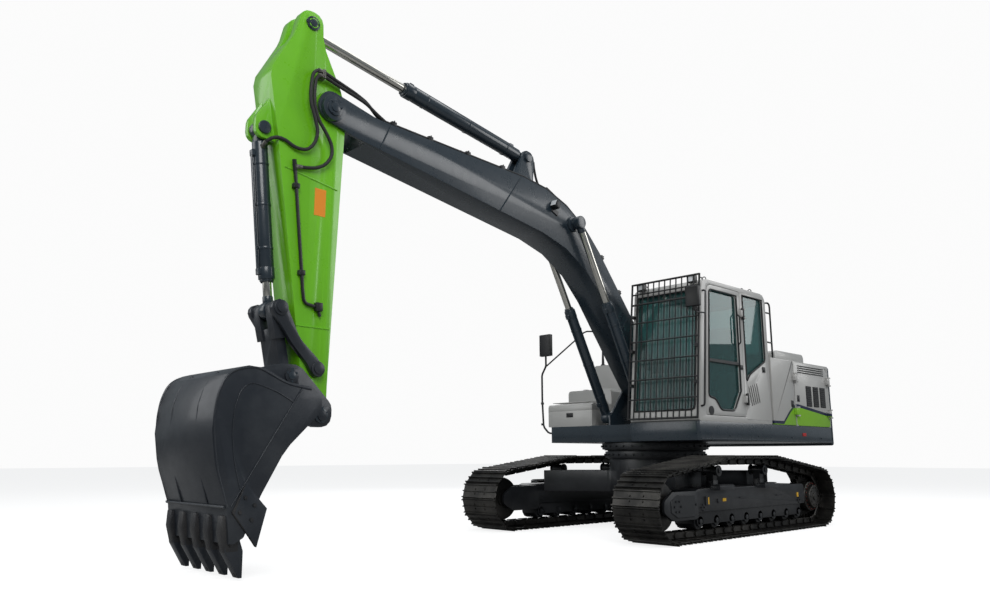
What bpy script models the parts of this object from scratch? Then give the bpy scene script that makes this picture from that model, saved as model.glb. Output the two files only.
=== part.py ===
"""Crawler excavator of the 21 to 22 tonne class, parked with its arm reached out and its bucket hanging.

Metres.  +X is the way the machine faces, +Y its left side, +Z up, and the tracks stand on z = 0.
All pieces hang under the empty "machine", whose origin is the slew axis at ground level.
Side-view places are (x, z) pairs; a body that turns in side view has its own empty on its pin,
with x along the body and z to its upper or front side.
"""
import math
import bpy
import bmesh
from mathutils import Matrix, Vector

# ---- clearances -------------------------------------------------------------------------------
SEAT_GAP = 0.0003          # between pieces that rest on each other
PIN_GAP = 0.0006           # around pins and rods, and beside the eyes they carry
RUN_GAP = 0.006            # between a moving piece and its neighbours
PIN_FACETS = 24            # sides of pins and bores, so that a turning pin stays inside its gap

# ---- places of the main bodies ----------------------------------------------------------------
SLEW_X = -1.845            # slew axis, measured from the middle of the machine's length
FOOT = (0.174, 1.806)      # boom foot pin
BOOM_ANGLE = 24.42         # degrees above level, foot pin to tip pin
BOOM_LENGTH = 5.708
ARM_ANGLE = -89.66         # degrees, boom tip pin to bucket pin
ARM_LENGTH = 2.886

# ---- undercarriage ----------------------------------------------------------------------------
TRACK_Y = 1.195            # centre of each track from the slew axis
SHOE_WIDTH = 0.60
TRACK_DEPTH = 0.120        # grouser tip to the inside of the links
IDLER_X = 1.77
SPROCKET_X = -1.70
END_RADIUS = 0.39          # over the grousers, round idler and sprocket
TRACK_TOP = 0.935          # upper run at its carrier rollers
CARRIER_X = (0.60, -0.52)
CARRIER_RADIUS = 0.055
SHOE_COUNT = 46
ROLLER_COUNT = 8
ROLLER_SPAN = (-1.26, 1.13)
ROLLER_RADIUS = 0.088
RIM = 0.2672               # idler and sprocket, just inside the links' facets
FRAME_HALF = 0.17          # track frame's half width about its track
FRAME_LOW, FRAME_HIGH = 0.315, 0.565
BELLY_Z = 0.47             # ground clearance under the lower frame
LOWER_TOP = 0.89
SLEW_SPLIT = 1.00          # running plane of the slew bearing
SLEW_RADIUS = (0.66, 0.70)  # lower ring and upper ring

# ---- upper structure --------------------------------------------------------------------------
DECK_LOW, DECK_TOP = 1.108, 1.3275
HOUSE_HALF = 1.355         # half width of deck and panels
DECK_FRONT_LEFT, DECK_FRONT_MID, DECK_FRONT_RIGHT = 1.088, 0.70, 0.62
DECK_REAR = -2.45
TAIL_RADIUS = 2.85
TAIL_LOW, TAIL_TOP = 1.075, 2.20
BAY_FRONT, BAY_SPLIT, BAY_TOP = -0.735, -1.372, 2.205
PANEL = 0.04               # thickness of the doors and of the bay's walls
PUMP_FRONT = -1.33         # front of the pump bay, behind the hydraulic tank
HOOD_X, HOOD_Y, HOOD_TOP = (-2.36, -1.46), (-0.62, 1.06), 2.395
TANK_SIDE = -0.57          # inner side of the tanks and of the toolbox
FUEL_X, FUEL_TOP = (-0.43, 0.17), 1.86
OIL_X, OIL_TOP = (-1.32, -0.44), 2.28
BOX_X, BOX_TOP, LID_LOW = (0.18, 0.615), 1.645, 1.545
HINGE_OUT = 0.030          # hinge axis in front of the door's face

# ---- cab --------------------------------------------------------------------------------------
CAB_LEFT, CAB_RIGHT = 1.349, 0.386
CAB_REAR, CAB_SILL, CAB_BROW = -0.69, 1.06, 0.87   # rear, front at the floor, front at the roof
CAB_ROOF = 3.035
WALL = 0.05
DOOR_REAR, DOOR_LOW, DOOR_HIGH = -0.03, 1.40, 2.985
DOOR_FRONT = (0.905, 0.755)  # at the sill and under the roof
GLASS = 0.006

# ---- front attachment -------------------------------------------------------------------------
BOOM_HALF = 0.200
ARM_HALF = 0.165
PIN = 0.045
CYL_Y = 0.306              # boom cylinders' centre lines
EYE_HALF = 0.050           # half width of every cylinder eye
BOOM_ROD_EYE = (2.342, 1.059)     # on the boom
ARM_BASE = (3.256, 1.439)         # arm cylinder's base pin on the boom
BOOM_BASE = (0.62, 1.43)          # boom cylinders' base pins on the deck
ARM_ROD_EYE = (-0.809, 0.225)     # on the arm
BUCKET_BASE = (0.338, 0.632)      # bucket cylinder's base pin on the arm
ROCKER_PIN = (2.478, 0.052)       # on the arm
LINK_PIN = (5.8255, 2.1945)       # rocker, link and bucket rod meet here, machine coordinates
EAR_PIN = (0.311, 0.331)          # link's pin on the bucket, from the bucket pin
BUCKET_HALF = 0.54
PLATE = 0.055              # thickness of rockers and bucket ears

COLOURS = {                # colour, roughness, metallic
    "lime": ((0.19, 0.52, 0.02), 0.35, 0.0),
    "slate": ((0.035, 0.05, 0.065), 0.35, 0.0),
    "grey": ((0.42, 0.42, 0.40), 0.38, 0.0),
    "black": ((0.012, 0.012, 0.013), 0.5, 0.0),
    "bucket": ((0.02, 0.028, 0.04), 0.4, 0.2),
    "steel": ((0.10, 0.095, 0.09), 0.5, 0.8),
    "chrome": ((0.75, 0.74, 0.70), 0.12, 1.0),
    "glass": ((0.05, 0.16, 0.14), 0.05, 0.0),
    "fabric": ((0.03, 0.03, 0.035), 0.9, 0.0),
}


# ---- small tools ------------------------------------------------------------------------------
def clear_scene():
    for item in list(bpy.data.objects):
        bpy.data.objects.remove(item, do_unlink=True)


def new_collection(name):
    group = bpy.data.collections.new(name)
    bpy.context.scene.collection.children.link(group)
    return group


def new_material(name):
    colour, roughness, metallic = COLOURS[name]
    finish = bpy.data.materials.new(name)
    finish.use_nodes = True
    shader = finish.node_tree.nodes["Principled BSDF"]
    shader.inputs["Base Color"].default_value = (*colour, 1.0)
    shader.inputs["Roughness"].default_value = roughness
    shader.inputs["Metallic"].default_value = metallic
    return finish


def new_empty(name, parent, x=0.0, y=0.0, z=0.0, pitch=0.0):
    """Empty on a joint axis; pitch lifts its x axis, in degrees."""
    holder = bpy.data.objects.new(name, None)
    PARTS.objects.link(holder)
    holder.parent = parent
    holder.location = (x, y, z)
    holder.rotation_euler = (0.0, -math.radians(pitch), 0.0)
    return holder


def new_object(name, bm, parent, collection):
    mesh = bpy.data.meshes.new(name)
    bm.to_mesh(mesh)
    bm.free()
    item = bpy.data.objects.new(name, mesh)
    collection.objects.link(item)
    item.parent = parent
    return item


def add_boolean(piece, bm, parent, operation, solver="EXACT"):
    tool = new_object(piece.name + "_" + operation.lower(), bm, parent, CUTTERS)
    tool.hide_render = True
    tool.display_type = "WIRE"
    modifier = piece.modifiers.new(tool.name, "BOOLEAN")
    modifier.operation = operation
    modifier.solver = solver
    modifier.object = tool


def solid(name, bm, parent, finish, joined=(), cut=(), solver="EXACT"):
    """One named sub-part: a start shape, then what is welded to it, then what is cut from it."""
    piece = new_object(name, bm, parent, PARTS)
    piece.data.materials.append(MATERIALS[finish])
    for more in joined:
        add_boolean(piece, more, parent, "UNION", solver)
    for less in cut:
        add_boolean(piece, less, parent, "DIFFERENCE", solver)
    piece.data.shade_smooth()
    piece.data.set_sharp_from_angle(angle=math.radians(30))
    return piece


def merge(*meshes):
    """Put shapes that don't touch into one mesh."""
    whole = bmesh.new()
    for bm in meshes:
        loose = bpy.data.meshes.new("loose")
        bm.to_mesh(loose)
        bm.free()
        whole.from_mesh(loose)
        bpy.data.meshes.remove(loose)
    return whole


def block(low, high):
    bm = bmesh.new()
    size = [b - a for a, b in zip(low, high)]
    middle = [(a + b) / 2 for a, b in zip(low, high)]
    bmesh.ops.create_cube(bm, size=1.0, matrix=Matrix.Translation(middle) @ Matrix.Diagonal((*size, 1.0)))
    return bm


def bar(start, end, radius, end_radius=None, segments=16):
    """Round bar between two points."""
    start, end = Vector(start), Vector(end)
    turn = (end - start).to_track_quat("Z", "Y").to_matrix().to_4x4()
    place = Matrix.Translation((start + end) / 2) @ turn
    bm = bmesh.new()
    bmesh.ops.create_cone(bm, cap_ends=True, segments=segments, radius1=radius,
                          radius2=radius if end_radius is None else end_radius,
                          depth=(end - start).length, matrix=place)
    return bm


def cross(point, low, high, radius, segments=PIN_FACETS):
    """Round bar across the machine, from y = low to y = high, at a side-view place."""
    return bar((point[0], low, point[1]), (point[0], high, point[1]), radius, segments=segments)


def both(make, low, high, *rest):
    """The same cross bar on the left and on the right."""
    return merge(make(rest[0], low, high, *rest[1:]), make(rest[0], -high, -low, *rest[1:]))


def rounded(corners, step=30.0):
    """Outline whose corners (a, b, radius) are replaced by arcs of about `step` degrees."""
    points = []
    count = len(corners)
    for i, (a, b, radius) in enumerate(corners):
        here = Vector((a, b))
        before = (Vector(corners[i - 1][:2]) - here).normalized()
        after = (Vector(corners[(i + 1) % count][:2]) - here).normalized()
        half = before.angle(after) / 2
        if radius == 0.0 or half > math.radians(88):
            points.append((a, b))
            continue
        bisector = (before + after).normalized()
        centre = here + bisector * (radius / math.sin(half))
        first = here + before * (radius / math.tan(half)) - centre
        sweep = first.angle_signed(here + after * (radius / math.tan(half)) - centre)
        pieces = max(1, round(abs(math.degrees(sweep)) / step))
        for k in range(pieces + 1):
            spoke = first.copy()
            spoke.rotate(Matrix.Rotation(-sweep * k / pieces, 2))
            points.append(tuple(centre + spoke))
    return points


def flat(loops, thickness):
    """Flat plate about z = 0 from closed outlines; inner ones are holes."""
    curve = bpy.data.curves.new("outline", "CURVE")
    curve.dimensions = "2D"
    curve.fill_mode = "BOTH"
    curve.extrude = thickness / 2
    for loop in loops:
        spline = curve.splines.new("POLY")
        spline.points.add(len(loop) - 1)
        for point, (a, b) in zip(spline.points, loop):
            point.co = (a, b, 0.0, 1.0)
        spline.use_cyclic_u = True
    return curve_mesh(curve)


def curve_mesh(curve):
    """Closed mesh of a curve; the curve is removed."""
    holder = bpy.data.objects.new("outline", curve)
    bpy.context.scene.collection.objects.link(holder)
    graph = bpy.context.evaluated_depsgraph_get()
    mesh = bpy.data.meshes.new_from_object(holder.evaluated_get(graph))
    bpy.data.objects.remove(holder)
    bm = bmesh.new()
    bm.from_mesh(mesh)
    bpy.data.meshes.remove(mesh)
    bmesh.ops.remove_doubles(bm, verts=bm.verts, dist=0.00002)
    bmesh.ops.recalc_face_normals(bm, faces=bm.faces)
    return bm


def side_plate(loops, low, high):
    """Plate seen from the side, between y = low and y = high."""
    bm = flat(loops, high - low)
    bm.transform(Matrix.Translation((0, (low + high) / 2, 0)) @ Matrix.Rotation(math.radians(90), 4, "X"))
    return bm


def plan_plate(loops, low, high):
    """Plate seen from above, between z = low and z = high."""
    bm = flat(loops, high - low)
    bm.transform(Matrix.Translation((0, 0, (low + high) / 2)))
    return bm


def tube(points, radius):
    """Bent tube through hand-set points."""
    curve = bpy.data.curves.new("tube", "CURVE")
    curve.dimensions = "3D"
    curve.bevel_depth = radius
    curve.bevel_resolution = 1
    curve.use_fill_caps = True
    spline = curve.splines.new("POLY")
    spline.points.add(len(points) - 1)
    for point, place in zip(spline.points, points):
        point.co = (*place, 1.0)
    return curve_mesh(curve)


def bent(corners, radius, step=30.0):
    """Round a tube's corners: 3-D points through the same arc length on both sides of each corner."""
    points = [Vector(corners[0])]
    for before, here, after in zip(corners, corners[1:], corners[2:]):
        here = Vector(here)
        one, two = (Vector(before) - here).normalized(), (Vector(after) - here).normalized()
        turn = math.pi - one.angle(two)
        reach = radius * math.tan(turn / 2)
        pieces = max(1, round(math.degrees(turn) / step))
        for k in range(pieces + 1):
            t = k / pieces
            start, end = here + one * reach, here + two * reach
            points.append(start * (1 - t) ** 2 + here * 2 * t * (1 - t) + end * t ** 2)
    points.append(Vector(corners[-1]))
    return [tuple(p) for p in points]


# ---- hinges -----------------------------------------------------------------------------------
HINGE_PIN, HINGE_KNUCKLE, HINGE_REACH, HINGE_HALF = 0.009, 0.017, 0.045, 0.045


def hinge(place, dip=0.012):
    """Lugs with their pin for the frame, and the knuckle with its strap and bore for the door.

    In the hinge's own axes z runs along the pin, -x is the frame's side, +x the door's and y points
    out of the closed face, which lies HINGE_OUT below the pin; the strap goes `dip` below the face.
    """
    lug_low, lug_high = HINGE_HALF + PIN_GAP, HINGE_HALF + 0.02
    lugs = merge(*(block((-HINGE_REACH, -HINGE_OUT - 0.012, a), (HINGE_PIN + 0.003, HINGE_PIN + 0.003, b))
                   for a, b in ((-lug_high, -lug_low), (lug_low, lug_high))))
    pin = bar((0, 0, -lug_high + 0.002), (0, 0, lug_high - 0.002), HINGE_PIN, segments=10)
    knuckle = bar((0, 0, -HINGE_HALF), (0, 0, HINGE_HALF), HINGE_KNUCKLE, segments=10)
    strap = block((0.004, -HINGE_OUT - dip, -HINGE_HALF + 0.004), (HINGE_REACH, 0.008, HINGE_HALF - 0.004))
    bore = bar((0, 0, -0.2), (0, 0, 0.2), HINGE_PIN + PIN_GAP, segments=10)
    shapes = (lugs, pin, knuckle, strap, bore)
    for bm in shapes:
        bm.transform(place)
        if place.determinant() < 0:
            bmesh.ops.reverse_faces(bm, faces=bm.faces)
    return shapes


def upright_hinge(x, face, z, side=1):
    """Hinge with a vertical pin on the left (side 1) or right (side -1) of the machine."""
    return hinge(Matrix.Translation((x, face + side * HINGE_OUT, z)) @ Matrix.Diagonal((1, side, 1, 1)))


def level_hinge(x, face, y, dip=0.012):
    """Hinge with its pin across the machine at the rear of a lid."""
    return hinge(Matrix.Translation((x, y, face + HINGE_OUT)) @ Matrix.Rotation(math.radians(90), 4, "X"), dip)


# ---- undercarriage ----------------------------------------------------------------------------
def belt_circles():
    """Idler, carriers, sprocket as circles (x, z, radius) that the grouser tips touch, anticlockwise."""
    rise = TRACK_TOP - CARRIER_RADIUS - TRACK_DEPTH
    carriers = [(x, rise, CARRIER_RADIUS + TRACK_DEPTH) for x in CARRIER_X]
    return [(IDLER_X, END_RADIUS, END_RADIUS), *carriers, (SPROCKET_X, END_RADIUS, END_RADIUS)]


def belt_segments():
    """Arcs and straights of the belt, each (length, function of distance to (x, z, normal angle))."""
    circles = belt_circles()
    normals = []
    for (ax, az, ar), (bx, bz, br) in zip(circles, circles[1:] + circles[:1]):
        span = math.hypot(bx - ax, bz - az)
        normals.append(math.atan2(bz - az, bx - ax) - math.acos((ar - br) / span))
    segments = []
    for i, (x, z, r) in enumerate(circles):
        first, last = normals[i - 1], normals[i]
        while last < first:
            last += 2 * math.pi
        segments.append((r * (last - first), "arc", (x, z, r), first, last))
        nx, nz, nr = circles[(i + 1) % len(circles)]
        start = (x + r * math.cos(last), z + r * math.sin(last))
        end = (nx + nr * math.cos(last), nz + nr * math.sin(last))
        segments.append((math.dist(start, end), "run", (start, end), last, last))
    return segments


def belt_point(segments, distance, depth):
    """Place on the belt at a distance along it, `depth` below the grouser tips."""
    for length, kind, data, first, last in segments:
        if distance <= length:
            t = distance / length
            angle = first + (last - first) * t
            if kind == "arc":
                x, z, r = data
                return (x + (r - depth) * math.cos(angle), z + (r - depth) * math.sin(angle))
            start, end = data
            return (start[0] + (end[0] - start[0]) * t - depth * math.cos(angle),
                    start[1] + (end[1] - start[1]) * t - depth * math.sin(angle))
        distance -= length
    return belt_point(segments, distance, depth)


def track_outlines():
    segments = belt_segments()
    whole = sum(s[0] for s in segments)
    pitch = whole / SHOE_COUNT
    outer = [belt_point(segments, k * pitch, 0.0) for k in range(SHOE_COUNT)]
    return outer, [belt_point(segments, k * pitch / 2, TRACK_DEPTH) for k in range(SHOE_COUNT * 2)]


def build_track(side, name):
    centre = side * TRACK_Y
    solid("track_" + name, side_plate(track_outlines(), centre - SHOE_WIDTH / 2, centre + SHOE_WIDTH / 2),
          ROOT, "steel")


def build_track_frame(side, name):
    centre = side * TRACK_Y
    low, high = centre - FRAME_HALF, centre + FRAME_HALF
    beam = side_plate([rounded([(-1.41, FRAME_LOW, 0.03), (1.30, FRAME_LOW, 0.03), (1.30, 0.50, 0.08),
                                (1.20, FRAME_HIGH, 0.1), (-1.41, FRAME_HIGH, 0.05)])], low, high)
    cheeks = merge(*(side_plate([rounded([(1.20, 0.24, 0.05), (1.70, 0.24, 0.06), (1.86, 0.33, 0.05),
                                          (1.86, 0.45, 0.05), (1.70, 0.545, 0.06), (1.20, 0.545, 0.05)])], a, a + 0.035)
                     for a in (low - 0.004, high - 0.031)))
    motor_plate = side_plate([rounded([(-1.80, 0.25, 0.08), (-1.34, 0.25, 0.03), (-1.34, 0.54, 0.03),
                                       (-1.80, 0.54, 0.08)])], *sorted((centre - side * 0.12, centre - side * 0.20)))
    bushes = merge(*(cross((IDLER_X, END_RADIUS), a, b, 0.05) for a, b in
                     ((low + 0.02, centre - 0.07), (centre + 0.07, high - 0.02))))
    saddle = TRACK_TOP - TRACK_DEPTH - 2 * CARRIER_RADIUS
    posts = merge(*(block((x - 0.05, centre - 0.05, FRAME_HIGH - 0.02), (x + 0.05, centre + 0.05, saddle - 0.06))
                    for x in CARRIER_X))
    step_low, step_high = sorted((centre + side * 0.15, centre + side * 0.27))
    steps = merge(*(block((x - 0.16, step_low, FRAME_HIGH - 0.02), (x + 0.16, step_high, FRAME_HIGH + 0.03))
                    for x in (0.72, -0.33)))
    return solid("track_frame_" + name, beam, ROOT, "black", joined=(cheeks, motor_plate, bushes, posts, steps))


def build_idler(side, name):
    centre = side * TRACK_Y
    wheel = cross((IDLER_X, END_RADIUS), centre - 0.0685, centre + 0.0685, RIM, 32)
    solid("idler_" + name, wheel, ROOT, "steel")


def build_sprocket(side, name):
    centre = side * TRACK_Y
    inner, outer = centre - side * (0.12 - SEAT_GAP), centre + side * 0.19
    ring = cross((SPROCKET_X, END_RADIUS), centre - 0.03, centre + 0.03, RIM, 32)
    drive = cross((SPROCKET_X, END_RADIUS), *sorted((inner, outer)), 0.19, 20)
    solid("sprocket_" + name, ring, ROOT, "steel", joined=(drive,))


def build_rollers(side, name):
    centre = side * TRACK_Y
    height = TRACK_DEPTH + ROLLER_RADIUS + 0.0005
    step = (ROLLER_SPAN[1] - ROLLER_SPAN[0]) / (ROLLER_COUNT - 1)
    places = [(ROLLER_SPAN[0] + step * k, height) for k in range(ROLLER_COUNT)]
    rail_top = FRAME_LOW - SEAT_GAP
    rail = block((ROLLER_SPAN[0] - 0.06, centre - 0.155, rail_top - 0.012),
                 (ROLLER_SPAN[1] + 0.06, centre + 0.155, rail_top))
    drums = merge(*(cross(p, centre - 0.12, centre + 0.12, ROLLER_RADIUS, 10) for p in places))
    sides = merge(*(block((places[0][0] - 0.05, centre + e - 0.02, height - 0.03),
                          (places[-1][0] + 0.05, centre + e + 0.02, rail_top - 0.005)) for e in (-0.13, 0.13)))
    solid("bottom_rollers_" + name, rail, ROOT, "black", joined=(sides, drums))


def build_carriers(side, name):
    centre = side * TRACK_Y
    height = TRACK_TOP - TRACK_DEPTH - CARRIER_RADIUS - 0.0036
    saddle = TRACK_TOP - TRACK_DEPTH - 2 * CARRIER_RADIUS - 0.06 + SEAT_GAP
    for x, place in zip(CARRIER_X, ("front", "rear")):
        foot = block((x - 0.045, centre - 0.045, saddle), (x + 0.045, centre + 0.045, height))
        drum = cross((x, height), centre - 0.10, centre + 0.10, CARRIER_RADIUS, 20)
        solid("carrier_roller_" + name + "_" + place, foot, ROOT, "black", joined=(drum,))


def build_lower_frame():
    reach = TRACK_Y - FRAME_HALF - 0.0045
    quarter = [(1.10, reach, 0.0), (0.55, 0.35, 0.08), (0.62, 0.0, 0.3), (0.55, -0.35, 0.08), (1.10, -reach, 0.0),
               (0.55, -reach, 0.0), (0.12, -0.62, 0.2), (-0.12, -0.62, 0.2), (-0.55, -reach, 0.0),
               (-1.10, -reach, 0.0), (-0.55, -0.35, 0.08), (-0.62, 0.0, 0.3), (-0.55, 0.35, 0.08),
               (-1.10, reach, 0.0), (-0.55, reach, 0.0), (-0.12, 0.62, 0.2), (0.12, 0.62, 0.2), (0.55, reach, 0.0)]
    spider = plan_plate([rounded(quarter)], BELLY_Z, 0.74)
    drum = bar((0, 0, 0.60), (0, 0, LOWER_TOP - SEAT_GAP), 0.61, segments=32)
    return solid("lower_frame", spider, ROOT, "black", joined=(drum,))


def build_slew_bearing():
    lower, upper = SLEW_RADIUS
    solid("slew_ring_lower", bar((0, 0, LOWER_TOP), (0, 0, SLEW_SPLIT), lower, segments=32), ROOT, "black")
    solid("slew_ring_upper", bar((0, 0, SLEW_SPLIT + PIN_GAP), (0, 0, DECK_LOW - SEAT_GAP), upper, segments=32),
          HOUSE, "black")


def build_undercarriage():
    for side, name in ((1, "left"), (-1, "right")):
        build_track(side, name)
        build_track_frame(side, name)
        build_idler(side, name)
        build_sprocket(side, name)
        build_rollers(side, name)
        build_carriers(side, name)
    build_lower_frame()
    build_slew_bearing()


# ---- upper structure --------------------------------------------------------------------------
def build_deck():
    outline = rounded([(DECK_FRONT_LEFT, HOUSE_HALF, 0.04), (DECK_REAR, HOUSE_HALF, 0.02),
                       (DECK_REAR, -HOUSE_HALF, 0.02), (DECK_FRONT_RIGHT, -HOUSE_HALF, 0.10),
                       (DECK_FRONT_RIGHT, -0.52, 0.0), (DECK_FRONT_MID, -0.52, 0.0),
                       (DECK_FRONT_MID, CAB_RIGHT, 0.0), (DECK_FRONT_LEFT, CAB_RIGHT, 0.04)])
    inner = BOOM_HALF + RUN_GAP
    bracket = [(-0.35, DECK_TOP - 0.03, 0.0), (0.69, DECK_TOP - 0.03, 0.0), (0.69, BOOM_BASE[1] + 0.02, 0.06),
               (0.60, BOOM_BASE[1] + 0.10, 0.08), (FOOT[0] + 0.13, FOOT[1] + 0.10, 0.12),
               (FOOT[0] - 0.13, FOOT[1] + 0.10, 0.12)]
    cheeks = merge(*(side_plate([rounded(bracket)], *sorted((s * inner, s * (inner + 0.025)))) for s in (1, -1)))
    foot_pin = cross(FOOT, -inner - 0.06, inner + 0.06, PIN + 0.01)
    base_pins = both(cross, inner + 0.01, CYL_Y + EYE_HALF + 0.02, BOOM_BASE, PIN)
    collars = both(cross, inner + 0.01, CYL_Y - EYE_HALF - PIN_GAP, BOOM_BASE, 0.07, 16)
    solid("main_deck", plan_plate([outline], DECK_LOW, DECK_TOP), HOUSE, "slate",
          joined=(cheeks, foot_pin, collars, base_pins))


def build_counterweight():
    front = DECK_REAR - SEAT_GAP
    side_x = -math.sqrt(TAIL_RADIUS ** 2 - HOUSE_HALF ** 2)
    end = math.degrees(math.atan2(HOUSE_HALF, side_x))
    arc = [(TAIL_RADIUS * math.cos(math.radians(a)), TAIL_RADIUS * math.sin(math.radians(a)))
           for a in (end + (360 - 2 * end) * k / 20 for k in range(21))]
    outline = [(front, -HOUSE_HALF), *reversed(arc), (front, HOUSE_HALF)]
    solid("counterweight", plan_plate([outline], TAIL_LOW, TAIL_TOP), HOUSE, "slate")


DOORS = (                  # name, side, front edge, rear edge
    ("left_front_door", 1, BAY_FRONT, BAY_SPLIT),
    ("left_rear_door", 1, BAY_SPLIT - 0.048, DECK_REAR + 0.055),
    ("right_side_door", -1, PUMP_FRONT, DECK_REAR + 0.055))


def build_engine_house():
    """Hollow bay behind the cab with its three side doors and its hood."""
    floor, wall_top = DECK_TOP + SEAT_GAP, BAY_TOP - PANEL
    rear, recess = DECK_REAR + 0.002, PANEL + RUN_GAP
    face = HOUSE_HALF - recess

    def plan(inset, side):
        return [(BAY_FRONT - inset, side - inset), (rear + inset, side - inset), (rear + inset, inset - side),
                (PUMP_FRONT - inset, inset - side), (PUMP_FRONT - inset, TANK_SIDE + 0.05 + inset),
                (BAY_FRONT - inset, TANK_SIDE + 0.05 + inset)]
    walls = plan_plate([plan(0.0, face)], floor, BAY_TOP - 0.01)
    roof = plan_plate([plan(0.0, HOUSE_HALF)], wall_top, BAY_TOP)
    inside = plan_plate([plan(PANEL, face)], floor + PANEL, wall_top)
    posts, lugs, pins, holes = [], [], [], []
    for name, side, front, back in DOORS:
        low, high = sorted((side * (face - 0.1), side * (HOUSE_HALF + 0.1)))
        holes.append(block((back + 0.10, low, floor + 0.07), (front - 0.07, high, wall_top - 0.05)))
        low, high = sorted((side * (face - 0.01), side * HOUSE_HALF))
        posts.append(block((back - 0.048, low, floor), (back - RUN_GAP, high, wall_top + 0.01)))
    x0, x1 = HOOD_X
    y0, y1 = HOOD_Y
    holes.append(block((x0 + 0.06, y0 + 0.06, wall_top - 0.05), (x1 - 0.06, y1 - 0.06, BAY_TOP + 0.05)))
    for name, side, front, back in DOORS:
        for z in (1.52, 1.98):
            shapes = upright_hinge(back, side * HOUSE_HALF, z, side)
            lugs.append(shapes[0])
            pins.append(shapes[1])
            DOOR_HINGES.setdefault(name, []).append(shapes[2:])
    for y in (y0 + 0.25, y1 - 0.25):
        shapes = level_hinge(x0, BAY_TOP, y, -0.008)
        lugs.append(shapes[0])
        pins.append(shapes[1])
        DOOR_HINGES.setdefault("engine_hood", []).append(shapes[2:])
    solid("engine_house", walls, HOUSE, "grey", joined=(roof, merge(*posts), merge(*lugs), merge(*pins)),
          cut=(inside, *holes))


DOOR_HINGES = {}


def hung(name, leaf, finish, axis_x, axis_y, axis_z, cut=()):
    """A door on its hinges; its empty stands on the hinge axis."""
    holder = new_empty(name + "_axis", HOUSE, axis_x, axis_y, axis_z)
    straps = [shapes[1] for shapes in DOOR_HINGES[name]]
    knuckles = [shapes[0] for shapes in DOOR_HINGES[name]]
    bores = [shapes[2] for shapes in DOOR_HINGES[name]]
    back = Matrix.Translation((-axis_x, -axis_y, -axis_z))
    cuts = [*cut, merge(*bores)]
    joins = [merge(*straps), merge(*knuckles)]
    for bm in (leaf, *joins, *cuts):
        bm.transform(back)
    return solid(name, leaf, holder, finish, joined=joins, cut=cuts)


def build_side_doors():
    floor, top = DECK_TOP + RUN_GAP, BAY_TOP - PANEL - RUN_GAP
    for name, side, front, back in DOORS:
        low, high = sorted((side * (HOUSE_HALF - PANEL), side * HOUSE_HALF))
        leaf = block((back + 0.016, low, floor), (front - RUN_GAP, high, top))
        hung(name, leaf, "grey", back, side * (HOUSE_HALF + HINGE_OUT), floor)


def build_hood():
    x0, x1 = HOOD_X
    y0, y1 = HOOD_Y
    low = BAY_TOP + RUN_GAP
    outline = rounded([(x0 + 0.019, low, 0.0), (x1, low, 0.0), (x1, HOOD_TOP, 0.06), (x0 + 0.019, HOOD_TOP, 0.06)])
    leaf = side_plate([outline], y0, y1)
    hollow = block((x0 + 0.06, y0 + 0.05, low - 0.05), (x1 - 0.05, y1 - 0.05, HOOD_TOP - 0.05))
    hung("engine_hood", leaf, "grey", x0, 0.0, BAY_TOP + HINGE_OUT, cut=(hollow,))


def build_engine():
    solid("engine_block", block((-2.30, -0.45, DECK_TOP + PANEL + 2 * SEAT_GAP), (-1.55, 0.75, 2.08)), HOUSE, "steel")


def build_tanks():
    floor = DECK_TOP + SEAT_GAP

    def tank(name, span, top, round_top):
        low, high = span
        outline = rounded([(-HOUSE_HALF, floor, 0.02), (TANK_SIDE, floor, 0.02), (TANK_SIDE, top, round_top),
                           (-HOUSE_HALF, top, round_top)], 30)
        bm = flat([outline], high - low)
        turn = Matrix.Rotation(math.radians(90), 4, "Z") @ Matrix.Rotation(math.radians(90), 4, "X")
        bm.transform(Matrix.Translation(((low + high) / 2, 0, 0)) @ turn)
        return solid(name, bm, HOUSE, "grey")
    tank("hydraulic_tank", (OIL_X[0] + 0.003, OIL_X[1] - SEAT_GAP), OIL_TOP, 0.05)
    tank("fuel_tank", (FUEL_X[0] - 0.0097, FUEL_X[1]), FUEL_TOP, 0.05)


def build_toolbox():
    floor = DECK_TOP + SEAT_GAP
    low, high = (BOX_X[0] + 0.0003, -HOUSE_HALF, floor), (BOX_X[1], TANK_SIDE, LID_LOW)
    inside = block((low[0] + 0.02, low[1] + 0.02, low[2] + 0.02), (high[0] - 0.02, high[1] - 0.02, high[2] + 0.2))
    lugs, pins = [], []
    axis_x = BOX_X[0] + 0.045
    for y in (-1.20, -0.72):
        shapes = level_hinge(axis_x, BOX_TOP, y)
        lugs.append(shapes[0])
        pins.append(shapes[1])
        DOOR_HINGES.setdefault("toolbox_lid", []).append(shapes[2:])
    rear_rail = block((low[0] + 0.003, low[1] + 0.003, LID_LOW - 0.05), (axis_x - RUN_GAP, high[1] - 0.003, BOX_TOP))
    box = solid("toolbox", block(low, high), HOUSE, "slate", cut=(inside,))
    for more in (rear_rail, merge(*lugs), merge(*pins)):
        add_boolean(box, more, HOUSE, "UNION")
    base = LID_LOW + SEAT_GAP
    outline = rounded([(axis_x + 0.016, base, 0.0), (BOX_X[1], base, 0.0), (BOX_X[1], BOX_TOP, 0.05),
                       (axis_x + 0.016, BOX_TOP, 0.0)])
    leaf = side_plate([outline], -HOUSE_HALF, TANK_SIDE)
    hollow = block((axis_x + 0.036, -HOUSE_HALF + 0.02, base - 0.02), (BOX_X[1] - 0.02, TANK_SIDE - 0.02, BOX_TOP - 0.02))
    hung("toolbox_lid", leaf, "grey", axis_x, 0.0, BOX_TOP + HINGE_OUT, cut=(hollow,))


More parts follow.
